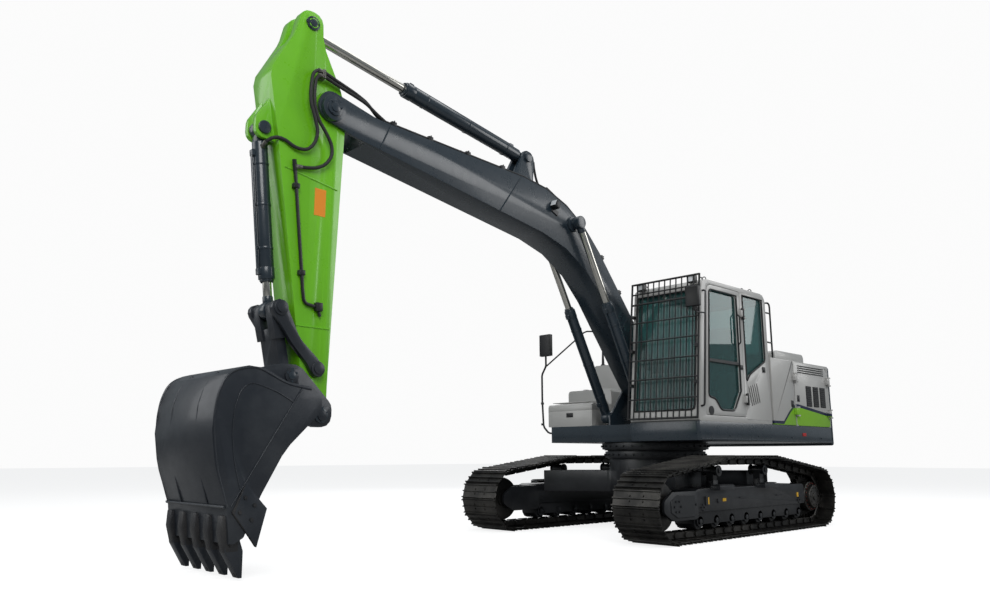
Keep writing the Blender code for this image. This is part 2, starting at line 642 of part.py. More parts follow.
def build_exhaust():
    base = BAY_TOP + SEAT_GAP
    route = bent([(-1.95, -0.95, base), (-1.95, -0.95, 2.60), (-2.12, -0.95, 2.70)], 0.08)
    solid("exhaust_pipe", bar((-1.95, -0.95, base), (-1.95, -0.95, base + 0.02), 0.09), HOUSE, "black",
          joined=(tube(route, 0.05),))


# ---- cab --------------------------------------------------------------------------------------
def lean_x(z, offset=0.0):
    """x of the leaning cab front at a height, moved forward by an offset."""
    return CAB_SILL + (CAB_BROW - CAB_SILL) * (z - DECK_TOP) / (CAB_ROOF - DECK_TOP) + offset


def cab_outline(inset):
    floor, roof = DECK_TOP + SEAT_GAP + inset, CAB_ROOF - inset
    soft = 0.12 - inset
    return rounded([(CAB_REAR + inset, floor, 0.02), (lean_x(floor) - inset, floor, 0.03),
                    (lean_x(roof) - inset, roof, soft), (CAB_REAR + inset, roof, soft)], 30)


PANES = {                  # side windows as outlines (x, z, radius)
    "rear_side": [(-0.59, 2.95, 0.04), (-0.59, 2.14, 0.04), (-0.17, 1.94, 0.06), (-0.085, 1.84, 0.03), (-0.085, 2.95, 0.04)],
    "right": [(-0.58, 2.92, 0.08), (-0.58, 2.00, 0.08), (0.85, 2.00, 0.08), (0.76, 2.92, 0.08)]}
REAR_PANE = ((CAB_RIGHT + 0.10, CAB_LEFT - 0.10), (2.22, 2.90))
FRONT_PANE = ((CAB_RIGHT + 0.06, CAB_LEFT - 0.06), (1.46, 2.90))


def shrunk(corners, gap):
    """The same outline moved inwards by a gap, about its middle."""
    mx = sum(c[0] for c in corners) / len(corners)
    mz = sum(c[1] for c in corners) / len(corners)
    width = max(abs(c[0] - mx) for c in corners)
    height = max(abs(c[1] - mz) for c in corners)
    return [(mx + (x - mx) * (1 - gap / width), mz + (z - mz) * (1 - gap / height), r) for x, z, r in corners]


def leaning_block(ys, zs, back, front, gap=0.0):
    """Slab parallel to the cab's front, between two offsets from it."""
    (y0, y1), (z0, z1) = ys, zs
    z0, z1 = z0 + gap, z1 - gap
    corners = [(lean_x(z0) + back, z0), (lean_x(z0) + front, z0), (lean_x(z1) + front, z1), (lean_x(z1) + back, z1)]
    return side_plate([corners], y0 + gap, y1 - gap)


def door_outline(gap):
    return [(DOOR_REAR + gap, DOOR_LOW + gap, 0.03), (DOOR_FRONT[0] - gap, DOOR_LOW + gap, 0.03),
            (DOOR_FRONT[1] - gap, DOOR_HIGH - gap, 0.08), (DOOR_REAR + gap, DOOR_HIGH - gap, 0.04)]


def build_cab_shell():
    shell = side_plate([cab_outline(0.0)], CAB_RIGHT, CAB_LEFT)
    inside = side_plate([cab_outline(WALL)], CAB_RIGHT + WALL, CAB_LEFT - WALL)
    door = side_plate([rounded(door_outline(0.0))], CAB_LEFT - WALL - 0.05, CAB_LEFT + 0.1)
    side_window = side_plate([rounded(PANES["rear_side"])], CAB_LEFT - WALL - 0.05, CAB_LEFT + 0.1)
    right_window = side_plate([rounded(PANES["right"])], CAB_RIGHT - 0.1, CAB_RIGHT + WALL + 0.05)
    (y0, y1), (z0, z1) = REAR_PANE
    rear_window = block((CAB_REAR - 0.1, y0, z0), (CAB_REAR + WALL + 0.05, y1, z1))
    front_window = leaning_block(*FRONT_PANE, -WALL - 0.06, 0.1)
    lugs, pins = [], []
    for z in (1.62, 2.70):
        shapes = upright_hinge(DOOR_REAR, CAB_LEFT, z)
        lugs.append(shapes[0])
        pins.append(shapes[1])
        DOOR_HINGES.setdefault("cab_door", []).append(shapes[2:])
    solid("cab_shell", shell, HOUSE, "grey", joined=(merge(*lugs), merge(*pins)),
          cut=(inside, door, side_window, right_window, rear_window, front_window))


def build_cab_glass():
    middle = -WALL / 2
    (y0, y1), (z0, z1) = REAR_PANE
    gap = SEAT_GAP
    solid("rear_glass", block((CAB_REAR + 0.022, y0 + gap, z0 + gap), (CAB_REAR + 0.022 + GLASS, y1 - gap, z1 - gap)),
          HOUSE, "glass")
    solid("front_glass", leaning_block(*FRONT_PANE, middle - GLASS / 2, middle + GLASS / 2, gap), HOUSE, "glass")
    for name, pane, y in (("side_glass", "rear_side", CAB_LEFT - 0.022), ("right_glass", "right", CAB_RIGHT + 0.016)):
        solid(name, side_plate([rounded(shrunk(PANES[pane], gap))], y, y + GLASS), HOUSE, "glass")


DOOR_WINDOW = [(0.07, 1.72, 0.03), (0.25, 1.47, 0.04), (0.56, 1.47, 0.10), (0.68, 1.60, 0.10),
               (0.83, 1.62, 0.02), (0.71, 2.92, 0.10), (0.07, 2.92, 0.06)]


def build_cab_door():
    leaf = side_plate([rounded(door_outline(RUN_GAP))], CAB_LEFT - WALL, CAB_LEFT)
    window = side_plate([rounded(DOOR_WINDOW)], CAB_LEFT - WALL - 0.05, CAB_LEFT + 0.01)
    hung("cab_door", leaf, "grey", DOOR_REAR, CAB_LEFT + HINGE_OUT, DOOR_LOW, cut=(window,))
    pane = side_plate([rounded(shrunk(DOOR_WINDOW, SEAT_GAP))], CAB_LEFT - 0.030, CAB_LEFT - 0.030 + GLASS)
    pane.transform(Matrix.Translation((-DOOR_REAR, -CAB_LEFT - HINGE_OUT, -DOOR_LOW)))
    solid("door_glass", pane, bpy.data.objects["cab_door_axis"], "glass")


def build_cab_inside():
    floor = DECK_TOP + SEAT_GAP + WALL + SEAT_GAP
    middle = (CAB_LEFT + CAB_RIGHT) / 2
    outline = rounded([(-0.34, 1.7203, 0.03), (0.26, 1.7203, 0.04), (0.28, 1.88, 0.06), (-0.14, 1.86, 0.05),
                       (-0.24, 2.62, 0.06), (-0.38, 2.62, 0.05)], 30)
    solid("seat", side_plate([outline], middle - 0.24, middle + 0.24), HOUSE, "fabric")
    base = block((-0.30, middle - 0.20, floor), (0.22, middle + 0.20, 1.72))
    shelf = block((-0.20, middle - 0.27, 1.60), (0.12, middle + 0.27, 1.66))
    console = rounded([(-0.28, floor, 0.0), (0.20, floor, 0.0), (0.30, 1.95, 0.05), (-0.28, 1.95, 0.05)], 30)
    consoles = merge(*(side_plate([console], y0, y0 + 0.16) for y0 in (middle + 0.26, middle - 0.42)))
    solid("seat_base", base, HOUSE, "black", joined=(shelf, consoles))


GUARD_Y = (0.392, 1.375)
GUARD_Z = (1.345, 3.085)
GUARD_COLUMNS, GUARD_ROWS = 5, 4
GUARD_OFF = 0.060          # bars in front of the cab's front


def build_front_guard():
    """Stone guard: round bars shown as one flat grid, on four stand-offs."""
    (y0, y1), (z0, z1) = GUARD_Y, GUARD_Z
    bar_width = 0.022
    wide = (y1 - y0 - bar_width) / GUARD_COLUMNS
    tall = (z1 - z0 - bar_width) / GUARD_ROWS
    holes = merge(*(leaning_block((y0 + bar_width + wide * i, y0 + wide * (i + 1)),
                                  (z0 + bar_width + tall * j, z0 + tall * (j + 1)), 0.03, 0.2)
                    for i in range(GUARD_COLUMNS) for j in range(GUARD_ROWS)))
    feet = merge(*(leaning_block((y, y + 0.04), (z0 + tall * j - 0.01, z0 + tall * j + 0.03), SEAT_GAP, GUARD_OFF + 0.01)
                   for y in (CAB_RIGHT + 0.005, CAB_LEFT - 0.045) for j in (1, 2, 3)))
    grid = leaning_block(GUARD_Y, GUARD_Z, GUARD_OFF, GUARD_OFF + 0.016)
    guard = solid("front_guard", grid, HOUSE, "black", cut=(holes,))
    add_boolean(guard, feet, HOUSE, "UNION")


def build_mirrors_and_rails():
    face = CAB_LEFT + SEAT_GAP
    top, foot = (0.86, 2.88), (1.005, 1.50)
    grip = tube(bent([(top[0], face, top[1]), (top[0], face + 0.045, top[1]), (foot[0], face + 0.045, foot[1]),
                      (foot[0], face, foot[1])], 0.03), 0.012)
    arm = tube(bent([(0.889, face + 0.045, 2.60), (1.13, face + 0.05, 2.58), (1.14, 1.40, 2.70)], 0.05), 0.010)
    head = block((1.115, 1.305, 2.65), (1.165, 1.475, 2.88))
    solid("left_mirror", head, HOUSE, "black", joined=(arm, grip))
    x = 0.560
    edge = -HOUSE_HALF - SEAT_GAP
    post = tube(bent([(x, edge, 1.245), (x, -1.40, 1.245), (x, -1.50, 1.34), (x, -1.52, 1.70), (x, -1.52, 2.09),
                      (x, -1.44, 2.21), (x, -1.44, 2.42)], 0.06), 0.014)
    glass_head = block((x - 0.03, -1.535, 2.36), (x + 0.03, -1.335, 2.67))
    rail = tube(bent([(x, -1.45, 2.20), (0.16, -1.02, 2.72), (-0.30, -0.80, 2.74), (-0.80, -0.75, 2.74),
                      (-0.80, -0.75, OIL_TOP + SEAT_GAP)], 0.07), 0.012)
    solid("right_mirror", glass_head, HOUSE, "black", joined=(post, rail))
    y = 1.29
    back = CAB_REAR - SEAT_GAP
    rail = tube(bent([(back, y, 2.93), (-0.93, y, 2.97), (-0.93, y, BAY_TOP + SEAT_GAP)], 0.06), 0.013)
    ties = merge(*(bar((back, y, z), (-0.93, y, z), 0.011, segments=12) for z in (2.82, 2.42)))
    solid("cab_handrail", rail, HOUSE, "black", joined=(ties,))


def build_upper_structure():
    build_deck()
    build_counterweight()
    build_engine_house()
    build_side_doors()
    build_hood()
    build_engine()
    build_tanks()
    build_toolbox()
    build_exhaust()
    build_cab_shell()
    build_cab_glass()
    build_cab_door()
    build_cab_inside()
    build_front_guard()
    build_mirrors_and_rails()


# ---- boom, arm and bucket ---------------------------------------------------------------------
def build_boom():
    """Welded box boom, with the foot boss, the tip fork, the cylinder bosses and the base bracket."""
    outline = rounded([(-0.15, -0.14, 0.13), (0.20, -0.14, 0.3), (2.088, 0.829, 1.75), (5.40, -0.075, 0.25),
                       (BOOM_LENGTH + 0.15, -0.15, 0.14), (BOOM_LENGTH + 0.15, 0.155, 0.14), (5.25, 0.275, 0.4),
                       (2.50, 1.386, 1.9), (0.15, 0.26, 0.4), (-0.15, 0.14, 0.13)], 13)
    body = side_plate([outline], -BOOM_HALF, BOOM_HALF)
    tip_bosses = both(cross, BOOM_HALF - 0.02, BOOM_HALF + 0.05, (BOOM_LENGTH, 0.0), 0.125, 16)
    rod_bosses = both(cross, BOOM_HALF - 0.02, CYL_Y - EYE_HALF - RUN_GAP, BOOM_ROD_EYE, 0.075, 16)
    ears = [(ARM_BASE[0] - 0.30, 0.95, 0.0), (ARM_BASE[0] + 0.13, 0.85, 0.0), (ARM_BASE[0] + 0.08, ARM_BASE[1] + 0.08, 0.08),
            (ARM_BASE[0] - 0.09, ARM_BASE[1] + 0.08, 0.08)]
    ear_in = EYE_HALF + PIN_GAP
    base_ears = merge(*(side_plate([rounded(ears)], *sorted((s * ear_in, s * (ear_in + 0.04)))) for s in (1, -1)))
    base_pin = cross(ARM_BASE, -ear_in - 0.06, ear_in + 0.06, PIN)
    slot_half = ARM_HALF + RUN_GAP
    slot = cross((BOOM_LENGTH, 0.0), -slot_half, slot_half, 0.47, 32)
    foot_bore = cross((0.0, 0.0), -0.5, 0.5, PIN + 0.01 + PIN_GAP)
    boom = solid("boom", body, BOOM, "slate", joined=(merge(tip_bosses, rod_bosses, base_ears), base_pin),
                 cut=(slot, foot_bore), solver="MANIFOLD")
    tip_pin = cross((BOOM_LENGTH, 0.0), -BOOM_HALF - 0.06, BOOM_HALF + 0.06, PIN + 0.005)
    add_boolean(boom, tip_pin, BOOM, "UNION", "MANIFOLD")


def build_boom_pipes():
    """Pair of steel pipes along each edge of the boom's top plate, with their clamp blocks."""
    route = bent([(0.6107, 0.0, 0.5046), (2.4993, 0.0, 1.4095), (5.158, 0.0, 0.3353)], 1.9215, 12)
    for side, name in ((1, "left"), (-1, "right")):
        pipes = merge(*(tube([(p[0], side * (BOOM_HALF - 0.03 - 0.045 * k), p[2]) for p in route], 0.014) for k in (0, 1)))
        clamps = []
        for x, z, slope in ((1.20, 0.7631, 25.6), (3.60, 0.9416, -22.0), (4.60, 0.5376, -22.0)):
            along = Vector((math.cos(math.radians(slope)), math.sin(math.radians(slope)))) * 0.03
            up = Vector((-along.y, along.x)) / 0.03
            foot, head = Vector((x, z)) + up * SEAT_GAP, Vector((x, z)) + up * 0.046
            corners = [tuple(p) for p in (foot - along, foot + along, head + along, head - along)]
            clamps.append(side_plate([corners], *sorted((side * (BOOM_HALF - 0.005), side * (BOOM_HALF - 0.10)))))
        solid("boom_pipes_" + name, merge(*clamps), BOOM, "black", joined=(pipes,))


def build_arm():
    """Welded box arm with its horn, the bucket cylinder's ears and the bored tip."""
    outline = rounded([(-0.93, 0.115, 0.10), (-0.93, 0.335, 0.10), (-0.66, 0.40, 0.3), (-0.20, 0.640, 0.15),
                       (0.36, 0.535, 0.5), (2.62, 0.175, 0.2), (ARM_LENGTH + 0.085, 0.085, 0.085),
                       (ARM_LENGTH + 0.085, -0.085, 0.085), (2.62, -0.085, 0.3), (0.14, -0.175, 0.3),
                       (-0.20, -0.13, 0.2), (-0.64, 0.10, 0.3)], 26)
    body = side_plate([outline], -ARM_HALF, ARM_HALF)
    ear_in = EYE_HALF + PIN_GAP
    bx, bz = BUCKET_BASE
    ear = rounded([(bx - 0.45, 0.50, 0.0), (bx + 0.11, 0.44, 0.0), (bx + 0.09, bz + 0.085, 0.08),
                   (bx - 0.09, bz + 0.085, 0.08)])
    ears = merge(*(side_plate([ear], *sorted((s * ear_in, s * (ear_in + 0.045)))) for s in (1, -1)))
    ear_pin = cross(BUCKET_BASE, -ear_in - 0.055, ear_in + 0.055, PIN)
    horn_slot = block((-1.10, -EYE_HALF - RUN_GAP, -0.2), (-0.56, EYE_HALF + RUN_GAP, 0.6))
    eye_room = cross(BUCKET_BASE, -ear_in + 0.0001, ear_in - 0.0001, 0.13)
    bores = [cross(p, -0.5, 0.5, PIN + PIN_GAP) for p in (ROCKER_PIN, (ARM_LENGTH, 0.0))]
    bores.append(cross((0.0, 0.0), -0.5, 0.5, PIN + 0.005 + PIN_GAP))
    stubs = both(cross, EYE_HALF + RUN_GAP + 0.01, ARM_HALF + 0.02, ARM_ROD_EYE, 0.05)
    arm = solid("arm", body, ARM, "lime", joined=(ears, stubs), cut=(horn_slot, merge(*bores), eye_room))
    add_boolean(arm, ear_pin, ARM, "UNION")


def build_bucket():
    """Digging bucket: shell and cheeks in one weld, ears, five teeth and the side cutters."""
    back = [(0.20, 0.135, 0.03), (0.28, 0.215, 0.04), (0.525, 0.245, 0.15), (0.80, 0.375, 0.2),
            (1.06, 0.30, 0.22), (1.165, -0.05, 0.5), (1.11, -0.42, 0.5), (0.995, -0.74, 0.1)]
    cheek = rounded([*back, (0.96, -1.02, 0.03), (0.845, -0.96, 0.02), (0.72, -0.655, 0.3), (0.52, -0.30, 0.4),
                     (0.19, 0.02, 0.08)], 30)
    body = side_plate([cheek], -BUCKET_HALF, BUCKET_HALF)
    skin = 0.025
    hollow = rounded([(0.30, 0.13, 0.02), (0.535, 0.245 - skin, 0.15), (0.80, 0.375 - skin * 1.1, 0.18),
                      (1.06 - skin, 0.30 - skin, 0.20), (1.165 - skin, -0.05, 0.5), (1.11 - skin, -0.42, 0.5),
                      (0.995 - skin * 1.4, -0.74, 0.1), (0.90, -1.10, 0.0), (0.55, -1.10, 0.0), (0.20, -0.32, 0.0)], 30)
    inside = side_plate([hollow], -BUCKET_HALF + 0.03, BUCKET_HALF - 0.03)
    ear_in = ARM_HALF + PIN_GAP
    ex, ez = EAR_PIN
    ear = rounded([(-0.11, -0.10, 0.10), (0.12, -0.10, 0.10), (0.27, 0.13, 0.1), (0.62, 0.26, 0.0), (0.80, 0.33, 0.0),
                   (ex + 0.11, ez + 0.10, 0.10), (ex - 0.08, ez + 0.10, 0.10), (-0.11, 0.10, 0.10)])
    ears = merge(*(side_plate([ear], *sorted((s * ear_in, s * (ear_in + PLATE)))) for s in (1, -1)))
    tooth = [(1.00, -0.85), (0.975, -1.06), (0.855, -1.258), (0.828, -1.258), (0.830, -1.06), (0.895, -0.88)]
    spread = BUCKET_HALF - 0.075
    teeth = merge(*(side_plate([tooth], y - 0.045, y + 0.045) for y in (spread * k / 2 for k in (-2, -1, 0, 1, 2))))
    lip = side_plate([[(0.985, -0.70), (0.965, -1.00), (0.925, -1.00), (0.935, -0.70)]], -BUCKET_HALF + 0.001, BUCKET_HALF - 0.001)
    cutter = [(0.857, -0.558), (0.671, -0.749), (0.746, -1.036), (0.94, -0.78)]
    cutters = merge(*(side_plate([cutter], *sorted((s * (BUCKET_HALF - 0.01), s * (BUCKET_HALF + 0.022)))) for s in (1, -1)))
    pin = cross((0.0, 0.0), -ear_in - PLATE - 0.03, ear_in + PLATE + 0.03, PIN)
    ear_pins = both(cross, ear_in, ear_in + PLATE + 0.02, EAR_PIN, 0.065, 16)
    bucket = solid("bucket", body, BUCKET, "bucket", joined=(ears,), cut=(inside,))
    for more in (lip, teeth, cutters, ear_pins, pin):
        add_boolean(bucket, more, BUCKET, "UNION")


def build_rockers_and_link():
    """Rockers joined by their pin through the arm, and the box link with its two upper lugs."""
    ax, az = in_machine(ARM, ROCKER_PIN)
    dx, dz = LINK_PIN[0] - ax, LINK_PIN[1] - az
    length, inner = math.hypot(dx, dz), ARM_HALF + PIN_GAP
    rocker = new_empty("rocker_axis", MACHINE, ax, 0.0, az, math.degrees(math.atan2(dz, dx)))
    outline = rounded([(-0.075, -0.075, 0.07), (0.10, -0.06, 0.1), (length * 0.5, -0.085, 0.2),
                       (length + 0.08, -0.08, 0.07), (length + 0.08, 0.08, 0.07), (length * 0.5, 0.005, 0.2),
                       (0.10, 0.05, 0.1), (-0.075, 0.075, 0.07)])
    plates = [side_plate([outline], *sorted((s * inner, s * (inner + PLATE)))) for s in (1, -1)]
    lug_in = EYE_HALF + RUN_GAP
    stubs = both(cross, lug_in, inner + PLATE + 0.03, (length, 0.0), PIN)
    solid("rockers", cross((0, 0), -inner - PLATE - 0.03, inner + PLATE + 0.03, PIN), rocker, "bucket",
          joined=(merge(*plates), stubs))
    ex, ez = in_machine(BUCKET, EAR_PIN)
    dx, dz = ex - LINK_PIN[0], ez - LINK_PIN[1]
    span = math.hypot(dx, dz)
    link = new_empty("link_axis", MACHINE, LINK_PIN[0], 0.0, LINK_PIN[1], math.degrees(math.atan2(dz, dx)))
    web = block((0.16, -ARM_HALF + 0.03, -0.045), (span - 0.03, ARM_HALF - 0.03, 0.045))
    boss = cross((span, 0.0), -ARM_HALF, ARM_HALF, 0.075)
    upper = rounded([(-0.07, -0.07, 0.065), (0.26, -0.06, 0.0), (0.26, 0.06, 0.0), (-0.07, 0.07, 0.065)])
    lugs = merge(*(side_plate([upper], *sorted((s * (lug_in + 0.004), s * (ARM_HALF)))) for s in (1, -1)))
    bores = cross((0.0, 0.0), -0.4, 0.4, PIN + PIN_GAP)
    solid("bucket_link", web, link, "bucket", joined=(boss, lugs), cut=(bores,))


# ---- cylinders --------------------------------------------------------------------------------
BARREL_START = 0.12        # from the base pin to the foot of the barrel
CYLINDERS = (
    # name, base body, base pin, rod body, rod pin, centre y, barrel radius, rod radius, barrel, rod reach
    ("boom_cylinder_left", "HOUSE", BOOM_BASE, "BOOM", BOOM_ROD_EYE, CYL_Y, 0.068, 0.0425, 1.57, 1.78),
    ("boom_cylinder_right", "HOUSE", BOOM_BASE, "BOOM", BOOM_ROD_EYE, -CYL_Y, 0.068, 0.0425, 1.57, 1.78),
    ("arm_cylinder", "BOOM", ARM_BASE, "ARM", ARM_ROD_EYE, 0.0, 0.080, 0.0475, 1.86, 1.84),
    ("bucket_cylinder", "ARM", BUCKET_BASE, "MACHINE", LINK_PIN, 0.0, 0.070, 0.040, 1.39, 1.46))


def in_machine(body, point):
    """Machine coordinates (x, z) of a point given in a body's own frame."""
    bpy.context.view_layer.update()
    place = MACHINE.matrix_world.inverted() @ body.matrix_world @ Vector((point[0], 0.0, point[1]))
    return place.x, place.z


def build_cylinders():
    for name, base_body, base, rod_body, eye, y, barrel_r, rod_r, barrel, reach in CYLINDERS:
        ax, az = in_machine(BODIES[base_body], base)
        bx, bz = in_machine(BODIES[rod_body], eye)
        length = math.hypot(bx - ax, bz - az)
        pitch = math.degrees(math.atan2(bz - az, bx - ax))
        print(name, "pin to pin", round(length, 4), "pitch", round(pitch, 3), "base", round(ax, 4), round(az, 4))
        frame = new_empty(name + "_axis", MACHINE, ax, y, az, pitch)
        eye_r = 0.078
        tube_body = bar((BARREL_START, 0, 0), (barrel - 0.12, 0, 0), barrel_r, segments=20)
        neck = block((0.02, -EYE_HALF + 0.004, -0.05), (BARREL_START + 0.01, EYE_HALF - 0.004, 0.05))
        head = bar((barrel - 0.14, 0, 0), (barrel, 0, 0), barrel_r + 0.006, segments=20)
        base_eye = cross((0, 0), -EYE_HALF, EYE_HALF, eye_r)
        pin_bore = cross((0, 0), -0.2, 0.2, PIN + PIN_GAP)
        rod_bore = bar((BARREL_START + 0.02, 0, 0), (barrel + 0.1, 0, 0), rod_r + PIN_GAP, segments=20)
        solid(name + "_barrel", tube_body, frame, "slate", joined=(neck, head, base_eye), cut=(pin_bore, rod_bore))
        rod = bar((length - reach, 0, 0), (length - 0.02, 0, 0), rod_r, segments=18)
        rod_eye = cross((length, 0), -EYE_HALF, EYE_HALF, eye_r)
        solid(name + "_rod", rod, frame, "chrome", joined=(rod_eye,))


# ---- hoses ------------------------------------------------------------------------------------
def build_arm_hoses():
    """Two hoses looping from the boom tip to the arm's left side, and the pipe down the arm."""
    face = ARM_HALF + SEAT_GAP + 0.012
    pipe = tube(bent([(0.70, face, 0.36), (1.84, face, 0.215), (1.90, face, 0.09)], 0.06), 0.012)
    blocks = merge(block((1.88, ARM_HALF + SEAT_GAP, 0.02), (1.96, ARM_HALF + 0.05, 0.10)),
                   block((0.80, ARM_HALF + SEAT_GAP, 0.325), (0.85, ARM_HALF + 0.04, 0.375)),
                   block((1.62, ARM_HALF + SEAT_GAP, 0.22), (1.67, ARM_HALF + 0.04, 0.27)))
    solid("arm_pipe", blocks, ARM, "black", joined=(pipe,))


def build_front():
    build_boom()
    build_boom_pipes()
    build_arm()
    build_bucket()
    build_rockers_and_link()
    build_cylinders()
    build_arm_hoses()


# ---- the machine ------------------------------------------------------------------------------
clear_scene()
PARTS = new_collection("crawler_excavator")
CUTTERS = new_collection("cutters")
MATERIALS = {name: new_material(name) for name in COLOURS}
MACHINE = new_empty("machine", None, SLEW_X)
ROOT = new_empty("undercarriage", MACHINE)
HOUSE = new_empty("slew_axis", MACHINE)
BOOM = new_empty("boom_foot", HOUSE, FOOT[0], 0.0, FOOT[1], BOOM_ANGLE)
ARM = new_empty("boom_tip", BOOM, BOOM_LENGTH, 0.0, 0.0, ARM_ANGLE - BOOM_ANGLE)
BUCKET = new_empty("bucket_pin", ARM, ARM_LENGTH, 0.0, 0.0, -ARM_ANGLE)
BODIES = {"MACHINE": MACHINE, "HOUSE": HOUSE, "BOOM": BOOM, "ARM": ARM, "BUCKET": BUCKET}
build_undercarriage()
build_upper_structure()
build_front()
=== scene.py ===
import math
import bpy
from mathutils import Matrix, Vector


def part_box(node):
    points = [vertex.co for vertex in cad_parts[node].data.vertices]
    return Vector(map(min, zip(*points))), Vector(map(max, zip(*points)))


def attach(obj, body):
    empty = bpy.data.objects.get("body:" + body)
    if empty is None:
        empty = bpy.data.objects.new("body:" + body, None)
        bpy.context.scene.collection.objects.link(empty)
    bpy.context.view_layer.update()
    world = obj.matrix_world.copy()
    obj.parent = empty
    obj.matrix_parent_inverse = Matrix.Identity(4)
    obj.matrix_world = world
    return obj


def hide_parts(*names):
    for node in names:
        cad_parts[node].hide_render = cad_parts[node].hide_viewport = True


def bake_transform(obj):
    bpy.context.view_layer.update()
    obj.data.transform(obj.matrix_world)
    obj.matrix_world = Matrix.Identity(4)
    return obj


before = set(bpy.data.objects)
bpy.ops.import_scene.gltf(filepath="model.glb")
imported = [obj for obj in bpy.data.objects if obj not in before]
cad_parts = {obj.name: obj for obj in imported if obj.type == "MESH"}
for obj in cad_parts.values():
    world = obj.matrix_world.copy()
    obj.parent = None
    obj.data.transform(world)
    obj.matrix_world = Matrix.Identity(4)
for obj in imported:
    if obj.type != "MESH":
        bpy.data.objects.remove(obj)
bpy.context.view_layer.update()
bpy.ops.object.select_all(action="DESELECT")

# ---- studio ------------------------------------------------------------------------------------
# A white sweep under soft boxes. The camera stands low, ahead and to the left of the machine,
# near its tracks, and looks slightly up at the boom.
camera_data = bpy.data.cameras.new("camera")
camera_data.lens = 29.225
camera_data.sensor_width = 36.0
camera_data.shift_x = 0.0146
camera_data.shift_y = 0.0135
camera_data.clip_end = 200.0
camera = bpy.data.objects.new("camera", camera_data)
camera.location = (7.4331, 6.3655, 0.9372)
camera.rotation_euler = Vector((-0.67707, -0.71363, 0.17975)).to_track_quat("-Z", "Y").to_euler()
bpy.context.scene.collection.objects.link(camera)
bpy.context.scene.camera = camera
bpy.context.scene.view_settings.view_transform = "Standard"


def seen_straight(tree):
    """One wherever the view meets it directly or through glass, so gloss keeps the dimmer room."""
    path = tree.nodes.new("ShaderNodeLightPath")
    most = tree.nodes.new("ShaderNodeMath")
    most.operation = "MAXIMUM"
    tree.links.new(path.outputs["Is Camera Ray"], most.inputs[0])
    tree.links.new(path.outputs["Is Transmission Ray"], most.inputs[1])
    return most


world = bpy.data.worlds.new("studio")
bpy.context.scene.world = world
world.use_nodes = True
sky = world.node_tree
sky.nodes.clear()
dim = sky.nodes.new("ShaderNodeBackground")
dim.inputs["Color"].default_value = (0.84, 0.93, 1.0, 1.0)
dim.inputs["Strength"].default_value = 0.26
bright = sky.nodes.new("ShaderNodeBackground")
bright.inputs["Color"].default_value = (1.0, 1.0, 1.0, 1.0)
bright.inputs["Strength"].default_value = 0.97
seen = seen_straight(sky)
pick = sky.nodes.new("ShaderNodeMixShader")
sky_out = sky.nodes.new("ShaderNodeOutputWorld")
sky.links.new(seen.outputs[0], pick.inputs[0])
sky.links.new(dim.outputs[0], pick.inputs[1])
sky.links.new(bright.outputs[0], pick.inputs[2])
sky.links.new(pick.outputs[0], sky_out.inputs[0])

bpy.ops.mesh.primitive_plane_add(size=120.0, location=(0, 0, -0.002))
floor = bpy.context.active_object
floor.name = "studio_floor"
floor_paint = bpy.data.materials.new("studio_floor")
floor_paint.use_nodes = True
tree = floor_paint.node_tree
tree.nodes.clear()
matte = tree.nodes.new("ShaderNodeBsdfDiffuse")
matte.inputs["Color"].default_value = (0.34, 0.34, 0.34, 1.0)
glow = tree.nodes.new("ShaderNodeEmission")
glow.inputs["Color"].default_value = (1.0, 1.0, 1.0, 1.0)
glow.inputs["Strength"].default_value = 0.80
lift = tree.nodes.new("ShaderNodeAddShader")
share = tree.nodes.new("ShaderNodeMixShader")
seen = seen_straight(tree)
floor_out = tree.nodes.new("ShaderNodeOutputMaterial")
tree.links.new(matte.outputs[0], lift.inputs[0])
tree.links.new(glow.outputs[0], lift.inputs[1])
tree.links.new(seen.outputs[0], share.inputs[0])
tree.links.new(matte.outputs[0], share.inputs[1])
tree.links.new(lift.outputs[0], share.inputs[2])
tree.links.new(share.outputs[0], floor_out.inputs[0])
floor.data.materials.append(floor_paint)

for name, place, aim, size, power in (
        ("key_box", (9.0, 9.0, 9.0), (0.5, 0.0, 1.5), 7.0, 900.0),
        ("fill_box", (11.0, -6.0, 6.0), (1.0, 0.0, 1.5), 8.0, 330.0),
        ("back_box", (-9.0, 8.0, 7.0), (-2.0, 0.0, 1.5), 7.0, 420.0),
        ("rear_box", (-8.0, -9.0, 7.0), (-2.0, 0.0, 1.5), 7.0, 300.0),
        ("top_box", (0.0, 0.0, 13.0), (0.0, 0.0, 0.0), 10.0, 520.0)):
    lamp_data = bpy.data.lights.new(name, "AREA")
    lamp_data.energy = power
    lamp_data.size = size
    lamp = bpy.data.objects.new(name, lamp_data)
    lamp.location = place
    lamp.rotation_euler = (Vector(aim) - Vector(place)).to_track_quat("-Z", "Y").to_euler()
    bpy.context.scene.collection.objects.link(lamp)

# ---- tracks ------------------------------------------------------------------------------------
# Two steel crawler tracks: forty-six pressed shoes with three low grousers each, bolted with four
# bolts to a chain of forged links that runs over the idler, the rollers and the sprocket.
AXIS_X = -1.845
TRACK_Y, SHOE_WIDTH, SHOE_COUNT = 1.195, 0.60, 46
BELT = ((1.77, 0.39, 0.39), (0.60, 0.76, 0.175), (-0.52, 0.76, 0.175), (-1.70, 0.39, 0.39))


